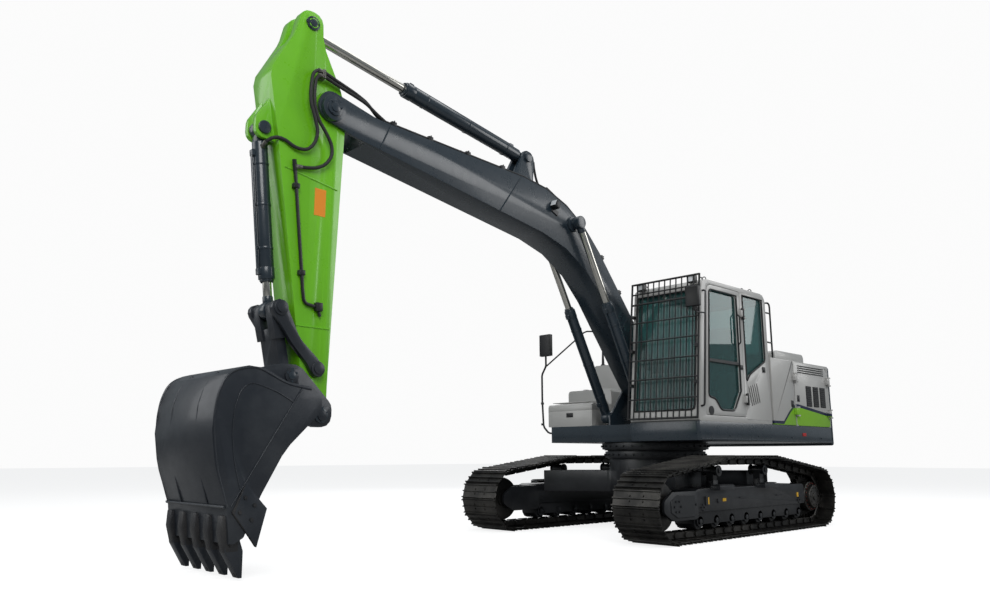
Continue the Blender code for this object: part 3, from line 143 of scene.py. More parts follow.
def block(low, high, bevel=0.0, segments=2):
    """Box between two corners with rounded edges, made active."""
    middle = [(a + b) / 2 for a, b in zip(low, high)]
    size = [abs(b - a) for a, b in zip(low, high)]
    bpy.ops.mesh.primitive_cube_add(size=1.0, location=middle, scale=size)
    piece = bpy.context.active_object
    bpy.ops.object.transform_apply(location=True, rotation=True, scale=True)
    if bevel > 0.0:
        bpy.ops.object.mode_set(mode="EDIT")
        bpy.ops.mesh.select_all(action="SELECT")
        bpy.ops.mesh.bevel(offset=bevel, segments=segments, affect="EDGES")
        bpy.ops.object.mode_set(mode="OBJECT")
    return piece


def rod(start, end, radius, vertices=20, bevel=0.0, end_radius=None):
    """Round bar between two points, with its end edges eased."""
    start, end = Vector(start), Vector(end)
    turn = (end - start).to_track_quat("Z", "Y").to_euler()
    bpy.ops.mesh.primitive_cone_add(vertices=vertices, radius1=radius, depth=(end - start).length,
                                    radius2=radius if end_radius is None else end_radius,
                                    location=(start + end) / 2, rotation=turn)
    piece = bpy.context.active_object
    bpy.ops.object.transform_apply(location=True, rotation=True, scale=True)
    if bevel > 0.0:
        for edge in piece.data.edges:
            edge.select = False
        bpy.ops.object.mode_set(mode="EDIT")
        bpy.ops.mesh.select_all(action="DESELECT")
        bpy.ops.mesh.select_mode(type="FACE")
        bpy.ops.object.mode_set(mode="OBJECT")
        for face in piece.data.polygons:
            face.select = len(face.vertices) == vertices
        bpy.ops.object.mode_set(mode="EDIT")
        bpy.ops.mesh.region_to_loop()
        bpy.ops.mesh.bevel(offset=bevel, segments=2, affect="EDGES")
        bpy.ops.mesh.select_mode(type="VERT")
        bpy.ops.object.mode_set(mode="OBJECT")
    return piece


def across(point, low, high, radius, vertices=20, bevel=0.004):
    """Round bar across the machine at a side-view place."""
    return rod((point[0], low, point[1]), (point[0], high, point[1]), radius, vertices, bevel)


def join(pieces):
    """The last of several pieces takes the others into its mesh."""
    bpy.ops.object.select_all(action="DESELECT")
    for piece in pieces:
        piece.select_set(True)
    bpy.context.view_layer.objects.active = pieces[-1]
    if len(pieces) > 1:
        bpy.ops.object.join()
    return bpy.context.active_object


def moved(piece, place):
    """Piece taken from its own axes to its place, with the place kept in its mesh."""
    piece.data.transform(place)
    piece.data.update()
    return piece


def twin(piece, place):
    """A copy with its own mesh, moved or mirrored."""
    bpy.ops.object.select_all(action="DESELECT")
    other = piece.copy()
    other.data = piece.data.copy()
    bpy.context.scene.collection.objects.link(other)
    other.data.transform(place)
    if place.determinant() < 0:
        other.data.flip_normals()
    return other




def done(piece, name, body, paint, slot, *nodes, smooth=32):
    """Finished piece: name, material, smooth faces, the body it moves with and what it stands for."""
    bpy.ops.object.select_all(action="DESELECT")
    piece.select_set(True)
    bpy.context.view_layer.objects.active = piece
    piece.name = name
    piece.data.name = name
    if paint is not None:
        piece.data.materials.clear()
        piece.data.materials.append(paint)
    bpy.ops.object.shade_smooth_by_angle(angle=math.radians(smooth))
    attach(piece, body)
    if nodes:
        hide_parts(*nodes)
    return piece


def eased(node, width=0.006, segments=2, angle=28.0):
    """Copy of a frame node as one closed mesh with its hard edges rounded."""
    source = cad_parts[node]
    bpy.ops.object.select_all(action="DESELECT")
    piece = bpy.data.objects.new(node + "_skin", source.data.copy())
    bpy.context.scene.collection.objects.link(piece)
    piece.select_set(True)
    bpy.context.view_layer.objects.active = piece
    bpy.ops.object.mode_set(mode="EDIT")
    bpy.ops.mesh.select_all(action="SELECT")
    bpy.ops.mesh.remove_doubles(threshold=0.00005)
    bpy.ops.mesh.customdata_custom_splitnormals_clear()
    bpy.ops.mesh.dissolve_limited(angle_limit=math.radians(1.5))
    bpy.ops.object.mode_set(mode="OBJECT")
    if width > 0.0:
        rim = piece.modifiers.new("rim", "BEVEL")
        rim.width = width
        rim.segments = segments
        rim.limit_method = "ANGLE"
        rim.angle_limit = math.radians(angle)
        rim.miter_outer = "MITER_ARC"
        bpy.ops.object.modifier_apply(modifier="rim")
    return piece


def metal_paint(name, colour, worn, roughness=0.34, metallic=0.0, wear=0.5, bump=0.02, coat=0.0):
    """Sprayed steel: faint mottling of the colour, uneven gloss and a fine orange-peel skin."""
    paint = bpy.data.materials.new(name)
    paint.use_nodes = True
    tree = paint.node_tree
    shader = tree.nodes["Principled BSDF"]
    shader.inputs["Metallic"].default_value = metallic
    shader.inputs["Coat Weight"].default_value = coat
    shader.inputs["Coat Roughness"].default_value = 0.12
    place = tree.nodes.new("ShaderNodeTexCoord")
    cloud = tree.nodes.new("ShaderNodeTexNoise")
    cloud.inputs["Scale"].default_value = 2.6
    cloud.inputs["Detail"].default_value = 6.0
    cloud.inputs["Roughness"].default_value = 0.62
    spread = tree.nodes.new("ShaderNodeMapRange")
    spread.inputs["From Min"].default_value = 0.42
    spread.inputs["From Max"].default_value = 0.78
    spread.inputs["To Max"].default_value = wear
    blend = tree.nodes.new("ShaderNodeMix")
    blend.data_type = "RGBA"
    blend.inputs["A"].default_value = (*colour, 1.0)
    blend.inputs["B"].default_value = (*worn, 1.0)
    gloss = tree.nodes.new("ShaderNodeTexNoise")
    gloss.inputs["Scale"].default_value = 9.0
    gloss.inputs["Detail"].default_value = 5.0
    gloss_range = tree.nodes.new("ShaderNodeMapRange")
    gloss_range.inputs["To Min"].default_value = roughness - 0.08
    gloss_range.inputs["To Max"].default_value = roughness + 0.12
    peel = tree.nodes.new("ShaderNodeTexNoise")
    peel.inputs["Scale"].default_value = 260.0
    peel.inputs["Detail"].default_value = 2.0
    skin = tree.nodes.new("ShaderNodeBump")
    skin.inputs["Strength"].default_value = 0.25
    skin.inputs["Distance"].default_value = bump * 0.02
    for texture in (cloud, gloss, peel):
        tree.links.new(place.outputs["Object"], texture.inputs["Vector"])
    tree.links.new(cloud.outputs["Fac"], spread.inputs["Value"])
    tree.links.new(spread.outputs[0], blend.inputs["Factor"])
    tree.links.new(blend.outputs["Result"], shader.inputs["Base Color"])
    tree.links.new(gloss.outputs["Fac"], gloss_range.inputs["Value"])
    tree.links.new(gloss_range.outputs[0], shader.inputs["Roughness"])
    tree.links.new(peel.outputs["Fac"], skin.inputs["Height"])
    tree.links.new(skin.outputs[0], shader.inputs["Normal"])
    return paint


track_iron = metal_paint("track_iron", (0.034, 0.033, 0.032), (0.125, 0.118, 0.108), 0.36, 0.85, 0.9, 0.06)
frame_black = metal_paint("frame_black", (0.010, 0.011, 0.013), (0.030, 0.032, 0.036), 0.36, 0.0, 0.7)


def belt_runs():
    """Arcs and straights of the belt round its four wheels, anticlockwise, at the grouser tips."""
    angles = []
    for (ax, az, ar), (bx, bz, br) in zip(BELT, BELT[1:] + BELT[:1]):
        span = math.hypot(bx - ax, bz - az)
        angles.append(math.atan2(bz - az, bx - ax) - math.acos((ar - br) / span))
    runs = []
    for i, (x, z, r) in enumerate(BELT):
        first, last = angles[i - 1], angles[i]
        while last < first:
            last += 2 * math.pi
        runs.append((r * (last - first), (x, z, r), first, last))
        nx, nz, nr = BELT[(i + 1) % len(BELT)]
        start = Vector((x + r * math.cos(last), z + r * math.sin(last)))
        end = Vector((nx + nr * math.cos(last), nz + nr * math.sin(last)))
        runs.append(((end - start).length, (start, end), last, last))
    return runs


def belt_place(runs, distance):
    """Matrix whose x runs along the belt and whose z points out of it, at the grouser tips."""
    distance %= sum(run[0] for run in runs)
    for length, data, first, last in runs:
        if distance <= length:
            t = distance / length
            angle = first + (last - first) * t
            if len(data) == 3:
                x, z = data[0] + data[2] * math.cos(angle), data[1] + data[2] * math.sin(angle)
            else:
                x, z = data[0] + (data[1] - data[0]) * t
            return Matrix.Translation((AXIS_X + x, 0, z)) @ Matrix.Rotation(math.pi / 2 - angle, 4, "Y")
        distance -= length


def shoe(pitch):
    """One shoe about its middle: a pressed plate, three grousers, the overlap lip and four bolts."""
    half = SHOE_WIDTH / 2 - 0.002
    parts = [block((-pitch / 2 + 0.004, -half, -0.036), (pitch / 2 - 0.014, half, -0.024), 0.003, 1)]
    for x in (-pitch / 2 + 0.018, -0.002, pitch / 2 - 0.026):
        rib = block((x - 0.010, -half, -0.030), (x + 0.010, half, -0.003), 0.0)
        for vertex in rib.data.vertices:
            if vertex.co.z > -0.01:
                vertex.co.x = x + (vertex.co.x - x) * 0.55
        parts.append(rib)
    parts.append(block((pitch / 2 - 0.020, -half, -0.044), (pitch / 2 + 0.010, half, -0.034), 0.0))
    for x in (-0.030, 0.028):
        for y in (-0.085, 0.085):
            parts.append(rod((x, y, -0.030), (x, y, -0.014), 0.012, 6))
    return join(parts)


def link(pitch):
    """Pair of chain links with the bush between them."""
    parts = []
    for side in (-1, 1):
        bar = block((-pitch / 2 + 0.006, side * 0.082 - 0.016, -0.112),
                (pitch / 2 - 0.006, side * 0.082 + 0.016, -0.036), 0.012, 1)
        parts.append(bar)
    parts.append(rod((pitch / 2, -0.115, -0.078), (pitch / 2, 0.115, -0.078), 0.026, 10))
    return join(parts)


runs = belt_runs()
belt_length = sum(run[0] for run in runs)
pitch = belt_length / SHOE_COUNT
one_shoe, one_link = shoe(pitch), link(pitch)
for side, name in ((1, "left"), (-1, "right")):
    shoes, links = [], []
    for k in range(SHOE_COUNT):
        place = Matrix.Translation((0, side * TRACK_Y, 0)) @ belt_place(runs, (k + 0.5) * pitch)
        shoes.append(twin(one_shoe, place))
        links.append(twin(one_link, place))
    done(join(shoes), "track_shoes_" + name, "undercarriage", track_iron, "undercarriage_steel",
            "track_" + name)
    done(join(links), "track_chain_" + name, "undercarriage", track_iron, "undercarriage_steel")
for spare in (one_shoe, one_link):
    bpy.data.objects.remove(spare, do_unlink=True)

# ---- track frames and wheels -------------------------------------------------------------------
# Welded box frames with the idler yoke in front and the travel motor behind. Eight bottom rollers
# hang under each, two carrier rollers stand on top, and flat steps are welded to the outside.
arrow_yellow = metal_paint("arrow_yellow", (0.75, 0.42, 0.01), (0.55, 0.33, 0.03), 0.45)
sprocket_red = metal_paint("sprocket_red", (0.22, 0.028, 0.018), (0.08, 0.03, 0.025), 0.5)


def plate(outline, low, high, axis="Y", bevel=0.0, segments=1):
    """Flat plate from an outline of (a, b) corners, raised from low to high along an axis."""
    bpy.ops.mesh.primitive_circle_add(vertices=len(outline), radius=1.0, fill_type="NGON")
    piece = bpy.context.active_object
    for vertex, (a, b) in zip(piece.data.vertices, outline):
        vertex.co = {"Y": (a, low, b), "X": (low, a, b), "Z": (a, b, low)}[axis]
    step = {"Y": (0, high - low, 0), "X": (high - low, 0, 0), "Z": (0, 0, high - low)}[axis]
    bpy.ops.object.mode_set(mode="EDIT")
    bpy.ops.mesh.select_all(action="SELECT")
    bpy.ops.mesh.extrude_region_move(TRANSFORM_OT_translate={"value": step})
    bpy.ops.mesh.select_all(action="SELECT")
    bpy.ops.mesh.normals_make_consistent(inside=False)
    bpy.ops.object.mode_set(mode="OBJECT")
    if bevel > 0.0:
        rim = piece.modifiers.new("rim", "BEVEL")
        rim.width = bevel
        rim.segments = segments
        rim.limit_method = "ANGLE"
        rim.angle_limit = math.radians(28)
        bpy.ops.object.modifier_apply(modifier="rim")
    return piece


def side(corners):
    """Side-view corners measured from the slew axis, moved into the model's place."""
    return [(AXIS_X + a, b) for a, b in corners]


def bolt_ring(centre, radius, count, size, low, high):
    """Hexagon heads in a circle on a face that looks across the machine."""
    heads = []
    for k in range(count):
        angle = 2 * math.pi * k / count
        x, z = centre[0] + radius * math.cos(angle), centre[1] + radius * math.sin(angle)
        heads.append(rod((x, low, z), (x, high, z), size, 6))
    return heads


for way, name in ((1, "left"), (-1, "right")):
    y = way * TRACK_Y
    done(eased("track_frame_" + name, 0.008), "track_beam_" + name, "undercarriage", frame_black,
         "undercarriage_black", "track_frame_" + name)
    rollers = [eased("bottom_rollers_" + name, 0.004)]
    for k in range(8):
        x = AXIS_X - 1.26 + 2.39 / 7 * k
        for reach in (0.128, -0.128):
            out = y + way * reach
            step = way * math.copysign(0.022, reach)
            rollers.append(across((x, 0.208), *sorted((out, out + step)), 0.062, 20))
            rollers.append(across((x, 0.208), *sorted((out + step, out + step * 1.5)), 0.030, 12, 0.002))
    done(join(rollers), "roller_row_" + name, "undercarriage", frame_black, "undercarriage_black",
            "bottom_rollers_" + name)
    for place in ("front", "rear"):
        node = "carrier_roller_" + name + "_" + place
        low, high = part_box(node)
        x, z = (low.x + high.x) / 2, high.z - 0.055
        wheel = [eased(node, 0.004), across((x, z), y - 0.115, y + 0.115, 0.028, 16, 0.003),
                 across((x, z), y - 0.103, y - 0.085, 0.066, 24),
                         across((x, z), y + 0.085, y + 0.103, 0.066, 24)]
        done(join(wheel), node + "_wheel", "undercarriage", frame_black, "undercarriage_black", node)
    hub = (AXIS_X + 1.77, 0.39)
    idler = [across(hub, y - 0.0685, y + 0.0685, 0.262, 48, 0.01)]
    for low, high, radius in ((y - 0.050, y + 0.050, 0.267), (y - 0.09, y + 0.09, 0.10),
            (y - 0.155, y + 0.155, 0.050)):
        idler.append(across(hub, low, high, radius, 32))
    done(join(idler), "idler_wheel_" + name, "undercarriage", track_iron, "undercarriage_steel",
            "idler_" + name)
    hub = (AXIS_X - 1.70, 0.39)
    teeth = []
    for k in range(21):
        for turn, radius in ((-0.25, 0.245), (-0.12, 0.285), (0.12, 0.285), (0.25, 0.245)):
            angle = 2 * math.pi * (k + turn) / 21
            teeth.append((hub[0] + radius * math.cos(angle), hub[1] + radius * math.sin(angle)))
    drive = [plate(teeth, y - 0.030, y + 0.030, "Y", 0.004),
             across(hub, *sorted((y - way * 0.118, y + way * 0.13)), 0.196, 40, 0.012),
             across(hub, *sorted((y + way * 0.12, y + way * 0.182)), 0.150, 40, 0.014),
             across(hub, *sorted((y + way * 0.17, y + way * 0.194)), 0.055, 24, 0.006)]
    drive += bolt_ring(hub, 0.172, 20, 0.011, *sorted((y + way * 0.12, y + way * 0.142)))
    drive += bolt_ring(hub, 0.115, 10, 0.010, *sorted((y + way * 0.17, y + way * 0.192)))
    done(join(drive), "final_drive_" + name, "undercarriage", track_iron, "undercarriage_steel",
            "sprocket_" + name)
    marks = bolt_ring(hub, 0.172, 20, 0.0075, *sorted((y + way * 0.141, y + way * 0.1445)))
    done(join(marks), "drive_bolt_marks_" + name, "undercarriage", sprocket_red, "undercarriage_steel")
    face = y + way * 0.17
    trim = []
    for x in (0.72, -0.33):
        for z in (0.585, 0.598):
            trim.append(block((AXIS_X + x - 0.155, min(face, y + way * 0.265), z),
                    (AXIS_X + x + 0.155, max(face, y + way * 0.265), z + 0.006), 0.002, 1))
        for k in range(7):
            x0 = AXIS_X + x - 0.14 + k * 0.0445
            trim.append(block((x0, min(face + way * 0.005, y + way * 0.262), 0.600),
                    (x0 + 0.012, max(face + way * 0.005, y + way * 0.262), 0.609), 0.002, 1))
    for x, z, wide, tall in ((1.02, 0.43, 0.05, 0.10), (0.20, 0.44, 0.16, 0.012), (-0.70, 0.44, 0.16, 0.012)):
        trim.append(block((AXIS_X + x - wide / 2, *sorted((face - 0.002, face + way * 0.010))[:1],
                z - tall / 2),
                          (AXIS_X + x + wide / 2, sorted((face - 0.002, face + way * 0.010))[1],
                                  z + tall / 2), 0.003, 1))
    trim += bolt_ring((AXIS_X + 1.33, 0.40), 0.085, 6, 0.013, *sorted((face - 0.002, face + way * 0.012)))
    trim.append(across((AXIS_X + 0.76, 0.42), *sorted((face - 0.001, face + way * 0.006)), 0.026, 20, 0.002))
    for x in (-1.24, 1.10):
        trim += bolt_ring((AXIS_X + x, 0.36), 0.030, 4, 0.009, *sorted((face - 0.002, face + way * 0.010)))
    done(join(trim), "frame_trim_" + name, "undercarriage", frame_black, "undercarriage_black")
    arrow = [(1.53, 0.401), (1.45, 0.401), (1.45, 0.430), (1.40, 0.396), (1.45, 0.362), (1.45, 0.391),
            (1.53, 0.391)]
    signs = [plate(side(arrow), *sorted((face - 0.001, face + way * 0.003)))]
    for x, wide, tall in ((0.99, 0.055, 0.075), (0.63, 0.075, 0.035), (-1.22, 0.045, 0.055)):
        signs.append(block((AXIS_X + x - wide / 2, min(face - 0.001, face + way * 0.0025), 0.43 - tall / 2),
                           (AXIS_X + x + wide / 2, max(face - 0.001, face + way * 0.0025), 0.43 + tall / 2)))
    done(join(signs), "yellow_marks_" + name, "undercarriage", arrow_yellow, "undercarriage_black")
    edge = y + way * 0.30
    yoke = [(1.28, 0.50), (1.28, 0.27), (1.62, 0.27), (1.74, 0.33), (1.74, 0.45), (1.62, 0.515)]
    guard = [plate(side(yoke), *sorted((face - 0.002, face + way * 0.014)), "Y", 0.005)]
    guard += bolt_ring((AXIS_X + 1.62, 0.39), 0.062, 6, 0.012,
            *sorted((face + way * 0.012, face + way * 0.026)))
    done(join(guard), "idler_yoke_" + name, "undercarriage", frame_black, "undercarriage_black")

# ---- lower frame and slew ring -----------------------------------------------------------------
# X-shaped welded carbody between the tracks with the drum that carries the slew bearing, whose
# two rings are each held by a circle of bolts.
done(eased("lower_frame", 0.010), "carbody", "undercarriage", frame_black, "undercarriage_black", "lower_frame")
for node, body, radius, low, high, slot in (
        ("slew_ring_lower", "undercarriage", 0.66, 0.890, 1.000, "undercarriage_black"),
        ("slew_ring_upper", "house", 0.70, 1.0006, 1.1077, "black_parts")):
    ring = [rod((AXIS_X, 0, low), (AXIS_X, 0, high), radius - 0.03, 96, 0.004),
            rod((AXIS_X, 0, low + 0.012), (AXIS_X, 0, high - 0.012), radius, 96, 0.006)]
    for k in range(36):
        angle = 2 * math.pi * k / 36
        x, y = AXIS_X + (radius - 0.004) * math.cos(angle), (radius - 0.004) * math.sin(angle)
        out = Vector((math.cos(angle), math.sin(angle), 0)) * 0.022
        ring.append(rod((x, y, (low + high) / 2), (x + out.x, y + out.y, (low + high) / 2), 0.013, 6))
    done(join(ring), node + "_bearing", body, frame_black, slot, node)

# ---- deck, engine house and counterweight ------------------------------------------------------
# Pressed and welded steel body in light warm grey over a dark slate skirt. The counterweight is a
# heavy casting with rounded corners. Lime green sweeps along the lower rear of the side panels.
SLATE, SLATE_WORN = (0.016, 0.026, 0.036), (0.030, 0.042, 0.054)
slate = metal_paint("slate_paint", SLATE, SLATE_WORN, 0.27, 0.0, 0.45, 0.02, 0.35)
grey = metal_paint("grey_paint", (0.43, 0.425, 0.41), (0.37, 0.365, 0.35), 0.33, 0.0, 0.5, 0.02, 0.25)
black = metal_paint("black_coat", (0.008, 0.008, 0.009), (0.022, 0.023, 0.025), 0.40, 0.0, 0.6)
black_rubber = metal_paint("black_rubber", (0.012, 0.012, 0.013), (0.028, 0.028, 0.028), 0.62, 0.0, 0.5, 0.08)


def swept_panel(name):
    """Grey panel paint whose lower rear is lime green behind a dark line."""
    paint = grey.copy()
    paint.name = name
    tree = paint.node_tree
    shader = tree.nodes["Principled BSDF"]
    base = shader.inputs["Base Color"].links[0].from_socket
    place = next(n for n in tree.nodes if n.type == "TEX_COORD")
    split = tree.nodes.new("ShaderNodeSeparateXYZ")
    tree.links.new(place.outputs["Object"], split.inputs[0])
    height = tree.nodes.new("ShaderNodeFloatCurve")
    shape = height.mapping.curves[0]
    shape.points[0].location = (0.0, 0.33)
    shape.points[1].location = (1.0, 0.0)
    for at, value in ((0.66, 0.60), (0.70, 0.595), (0.745, 0.54), (0.80, 0.41), (0.841, 0.30), (0.936, 0.0)):
        shape.points.new(at, value)
    for point in shape.points:
        point.handle_type = "VECTOR"
    height.mapping.update()
    along = tree.nodes.new("ShaderNodeMapRange")
    along.inputs["From Min"].default_value = AXIS_X - 2.47
    along.inputs["From Max"].default_value = AXIS_X - 0.90
    tree.links.new(split.outputs["X"], along.inputs["Value"])
    tree.links.new(along.outputs[0], height.inputs["Value"])
    edge = tree.nodes.new("ShaderNodeMath")
    edge.operation = "MULTIPLY_ADD"
    edge.inputs[1].default_value = 0.40
    edge.inputs[2].default_value = 1.352
    tree.links.new(height.outputs[0], edge.inputs[0])
    for colour, offset in (((0.010, 0.016, 0.05), 0.030), ((0.22, 0.50, 0.02), -0.010)):
        line = tree.nodes.new("ShaderNodeMath")
        line.operation = "ADD"
        line.inputs[1].default_value = offset
        tree.links.new(edge.outputs[0], line.inputs[0])
        below = tree.nodes.new("ShaderNodeMath")
        below.operation = "LESS_THAN"
        tree.links.new(split.outputs["Z"], below.inputs[0])
        tree.links.new(line.outputs[0], below.inputs[1])
        lay = tree.nodes.new("ShaderNodeMix")
        lay.data_type = "RGBA"
        lay.inputs["B"].default_value = (*colour, 1.0)
        tree.links.new(base, lay.inputs["A"])
        tree.links.new(below.outputs[0], lay.inputs["Factor"])
        base = lay.outputs["Result"]
    tree.links.new(base, shader.inputs["Base Color"])
    return paint


swept = swept_panel("swept_panel_paint")
HOUSE_HALF = 1.355
deck = [eased("main_deck", 0.008)]
for way in (1, -1):
    face = way * HOUSE_HALF
    deck.append(block((AXIS_X - 2.44, min(face - way * 0.002, face + way * 0.008), 1.118),
                      (AXIS_X + (1.05 if way > 0 else 0.52), max(face - way * 0.002, face + way * 0.008),
                              1.132), 0.003, 1))
    for x in (-2.1, -1.2, -0.3, 0.4):
        deck += bolt_ring((AXIS_X + x, 1.17), 0.001, 1, 0.011, *sorted((face - 0.002, face + way * 0.008)))
done(join(deck), "deck_frame", "house", slate, "slate_paint", "main_deck")
reflector = metal_paint("reflector_red", (0.42, 0.012, 0.010), (0.30, 0.02, 0.015), 0.25)
marks = [block((AXIS_X - 1.62, 1.353, 1.19), (AXIS_X - 1.52, 1.361, 1.235), 0.003, 1),
         block((AXIS_X - 1.62, -1.361, 1.19), (AXIS_X - 1.52, -1.353, 1.235), 0.003, 1)]
done(join(marks), "side_reflectors", "house", reflector, "slate_paint")

weight = eased("counterweight", 0.045, 4)
seams = [weight]
for z in (1.40, 2.02):
    for k in range(24):
        a0, a1 = (math.radians(154 + 52 * t / 24) for t in (k, k + 1))
        p0, p1 = ((AXIS_X + 2.852 * math.cos(a), 2.852 * math.sin(a), z) for a in (a0, a1))
        seams.append(rod(p0, p1, 0.006, 6))
for y in (-0.75, 0.75):
    seams.append(rod((AXIS_X - 2.63, y, 2.198), (AXIS_X - 2.63, y, 2.206), 0.05, 24))
done(join(seams), "counterweight_casting", "house", slate, "slate_paint", "counterweight")
done(eased("engine_house", 0.010), "engine_house_panels", "house", grey, "grey_paint", "engine_house")

DOORS = (("left_front_door", "front_bay_door", 1, -0.731, -1.366),
         ("left_rear_door", "rear_bay_door", 1, -1.382, -2.440),
         ("right_side_door", "pump_bay_door", -1, -1.345, -2.440))
for node, body, way, front, back in DOORS:
    face = way * HOUSE_HALF
    inner, outer = sorted((face - way * 0.038, face + way * 0.002))
    low, high = AXIS_X + back + 0.012, AXIS_X + front
    rear_round = 0.10 if node != "left_front_door" else 0.0
    outline = [(low, 1.342), (high, 1.342), (high, 2.196), (low + rear_round * 1.3, 2.196),
            (low + 0.01, 2.196 - rear_round * 0.9), (low, 2.05 if rear_round else 2.18)]
    leaf = [eased(node, 0.004), plate(outline, inner, outer, "Y", 0.007, 2)]
    done(join(leaf), node + "_leaf", body, swept if way > 0 else grey, "grey_paint", node)
    grille = []
    if node != "left_front_door":
        for k in range(4):
            z = 2.055 + k * 0.030
            grille.append(block((low + 0.14, *sorted((face, face + way * 0.012))[:1], z),
                    (high - 0.10, sorted((face, face + way * 0.012))[1], z + 0.012), 0.004, 1))
        for x0 in (-1.87, -2.09, -2.31):
            grille.append(block((AXIS_X + x0, min(face, face + way * 0.006), 1.60),
                    (AXIS_X + x0 + 0.17, max(face, face + way * 0.006), 1.885), 0.004, 1))
            for k in range(9):
                z = 1.612 + k * 0.030
                slat = block((AXIS_X + x0 + 0.012, min(face, face + way * 0.013), z),
                        (AXIS_X + x0 + 0.158, max(face, face + way * 0.013), z + 0.014), 0.004, 1)
                grille.append(slat)
        done(join(grille), node + "_grilles", body, black, "grey_paint")
    x = high - 0.075 if node != "left_front_door" else low + 0.08
    z = 1.70 if node != "left_front_door" else 1.62
    latch = [block((x - 0.035, min(face, face + way * 0.008), z - 0.045),
            (x + 0.035, max(face, face + way * 0.008), z + 0.045), 0.004, 2),
             block((x - 0.022, min(face, face + way * 0.014), z - 0.030),
                     (x + 0.022, max(face, face + way * 0.014), z + 0.010), 0.004, 2),
             across((x, z + 0.026), *sorted((face, face + way * 0.013)), 0.010, 12, 0.002)]
    done(join(latch), node + "_latch", body, black, "grey_paint")

hood = [eased("engine_hood", 0.012)]
low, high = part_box("engine_hood")
for k in range(10):
    x = low.x + 0.12 + k * 0.072
    hood.append(block((x, low.y + 0.18, high.z - 0.002), (x + 0.028, high.y - 0.18, high.z + 0.006), 0.003, 1))
done(join(hood), "hood_cover", "hood", grey, "grey_paint", "engine_hood")
done(eased("engine_block", 0.02), "engine_mass", "house", black, "engine_metal", "engine_block")

# ---- tanks, toolbox and exhaust ----------------------------------------------------------------
# Folded sheet tanks on the right with filler caps and a stepped toolbox in front of them, which
# also serves as the way up. A bent steel pipe carries the exhaust away.
for node in ("hydraulic_tank", "fuel_tank"):
    low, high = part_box(node)
    x, y = (low.x + high.x) / 2, (low.y + high.y) / 2
    tank = [eased(node, 0.006), rod((x, y, high.z - 0.004), (x, y, high.z + 0.022), 0.085, 32, 0.005)]
    for k in range(6):
        angle = math.radians(60 * k)
        tank.append(rod((x + 0.068 * math.cos(angle), y + 0.068 * math.sin(angle), high.z + 0.015),
                        (x + 0.068 * math.cos(angle), y + 0.068 * math.sin(angle), high.z + 0.030), 0.008, 6))
    tank.append(rod((x + 0.10, y - 0.22, high.z - 0.004), (x + 0.10, y - 0.22, high.z + 0.028), 0.045, 24,
            0.006))
    done(join(tank), node + "_shell", "house", grey, "grey_paint", node)
low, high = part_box("toolbox_lid")
done(eased("toolbox", 0.006), "toolbox_case", "house", grey, "slate_paint", "toolbox")
lid = [eased("toolbox_lid", 0.008)]
for k in range(9):
    x = low.x + 0.075 + k * 0.035
    lid.append(block((x, low.y + 0.05, high.z - 0.032), (x + 0.014, high.y - 0.05, high.z - 0.024), 0.003, 1))
done(join(lid), "toolbox_cover", "toolbox_cover", grey, "grey_paint", "toolbox_lid")
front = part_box("toolbox")[1].x
latch = [block((front - 0.002, -1.02, 1.455), (front + 0.006, -0.90, 1.515), 0.004, 2),
         block((front + 0.003, -0.99, 1.470), (front + 0.012, -0.93, 1.500), 0.004, 2)]
done(join(latch), "toolbox_latch", "house", black, "grey_paint")
step = []
for k in range(6):
    step.append(block((AXIS_X + 0.18 + 0.07 * k, -1.350, 1.3275), (AXIS_X + 0.22 + 0.07 * k, -0.60, 1.336),
            0.003, 1))
done(join(step), "deck_tread", "house", black, "slate_paint")
low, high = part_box("exhaust_pipe")
pipe = [eased("exhaust_pipe", 0.003)]
for z in (2.27, 2.50):
    pipe.append(rod((AXIS_X - 1.95, -0.95, z), (AXIS_X - 1.95, -0.95, z + 0.022), 0.056, 24, 0.003))
done(join(pipe), "exhaust_stack", "house", black, "black_parts", "exhaust_pipe")
mast = [rod((AXIS_X - 0.50, -1.22, 2.278), (AXIS_X - 0.50, -1.22, 2.30), 0.035, 20, 0.004),
        rod((AXIS_X - 0.50, -1.22, 2.30), (AXIS_X - 0.50, -1.22, 2.66), 0.022, 16, 0.0, 0.007)]
done(join(mast), "antenna", "house", black, "black_parts")

# ---- cab ---------------------------------------------------------------------------------------
# Pressed steel cab with tinted safety glass set in black rubber, a hinged door with a grab handle,
# a sprung cloth seat between two consoles, and work lights under the roof's front edge.
CAB_LEFT, CAB_RIGHT = 1.349, 0.386
glass_tint = bpy.data.materials.new("tinted_glass")
glass_tint.use_nodes = True
tree = glass_tint.node_tree
shader = tree.nodes["Principled BSDF"]
shader.inputs["Transmission Weight"].default_value = 0.82
shader.inputs["IOR"].default_value = 1.40
streak = tree.nodes.new("ShaderNodeTexNoise")
streak.inputs["Scale"].default_value = 0.9
streak.inputs["Detail"].default_value = 1.0
tint = tree.nodes.new("ShaderNodeMapRange")
tint.inputs["To Min"].default_value = 0.01
tint.inputs["To Max"].default_value = 0.03
place = tree.nodes.new("ShaderNodeTexCoord")
shade = tree.nodes.new("ShaderNodeMix")
shade.data_type = "RGBA"
shade.inputs["A"].default_value = (0.12, 0.27, 0.26, 1.0)
shade.inputs["B"].default_value = (0.09, 0.22, 0.22, 1.0)
tree.links.new(place.outputs["Object"], streak.inputs["Vector"])
tree.links.new(streak.outputs["Fac"], tint.inputs["Value"])
tree.links.new(tint.outputs[0], shader.inputs["Roughness"])
tree.links.new(streak.outputs["Fac"], shade.inputs["Factor"])
tree.links.new(shade.outputs["Result"], shader.inputs["Base Color"])

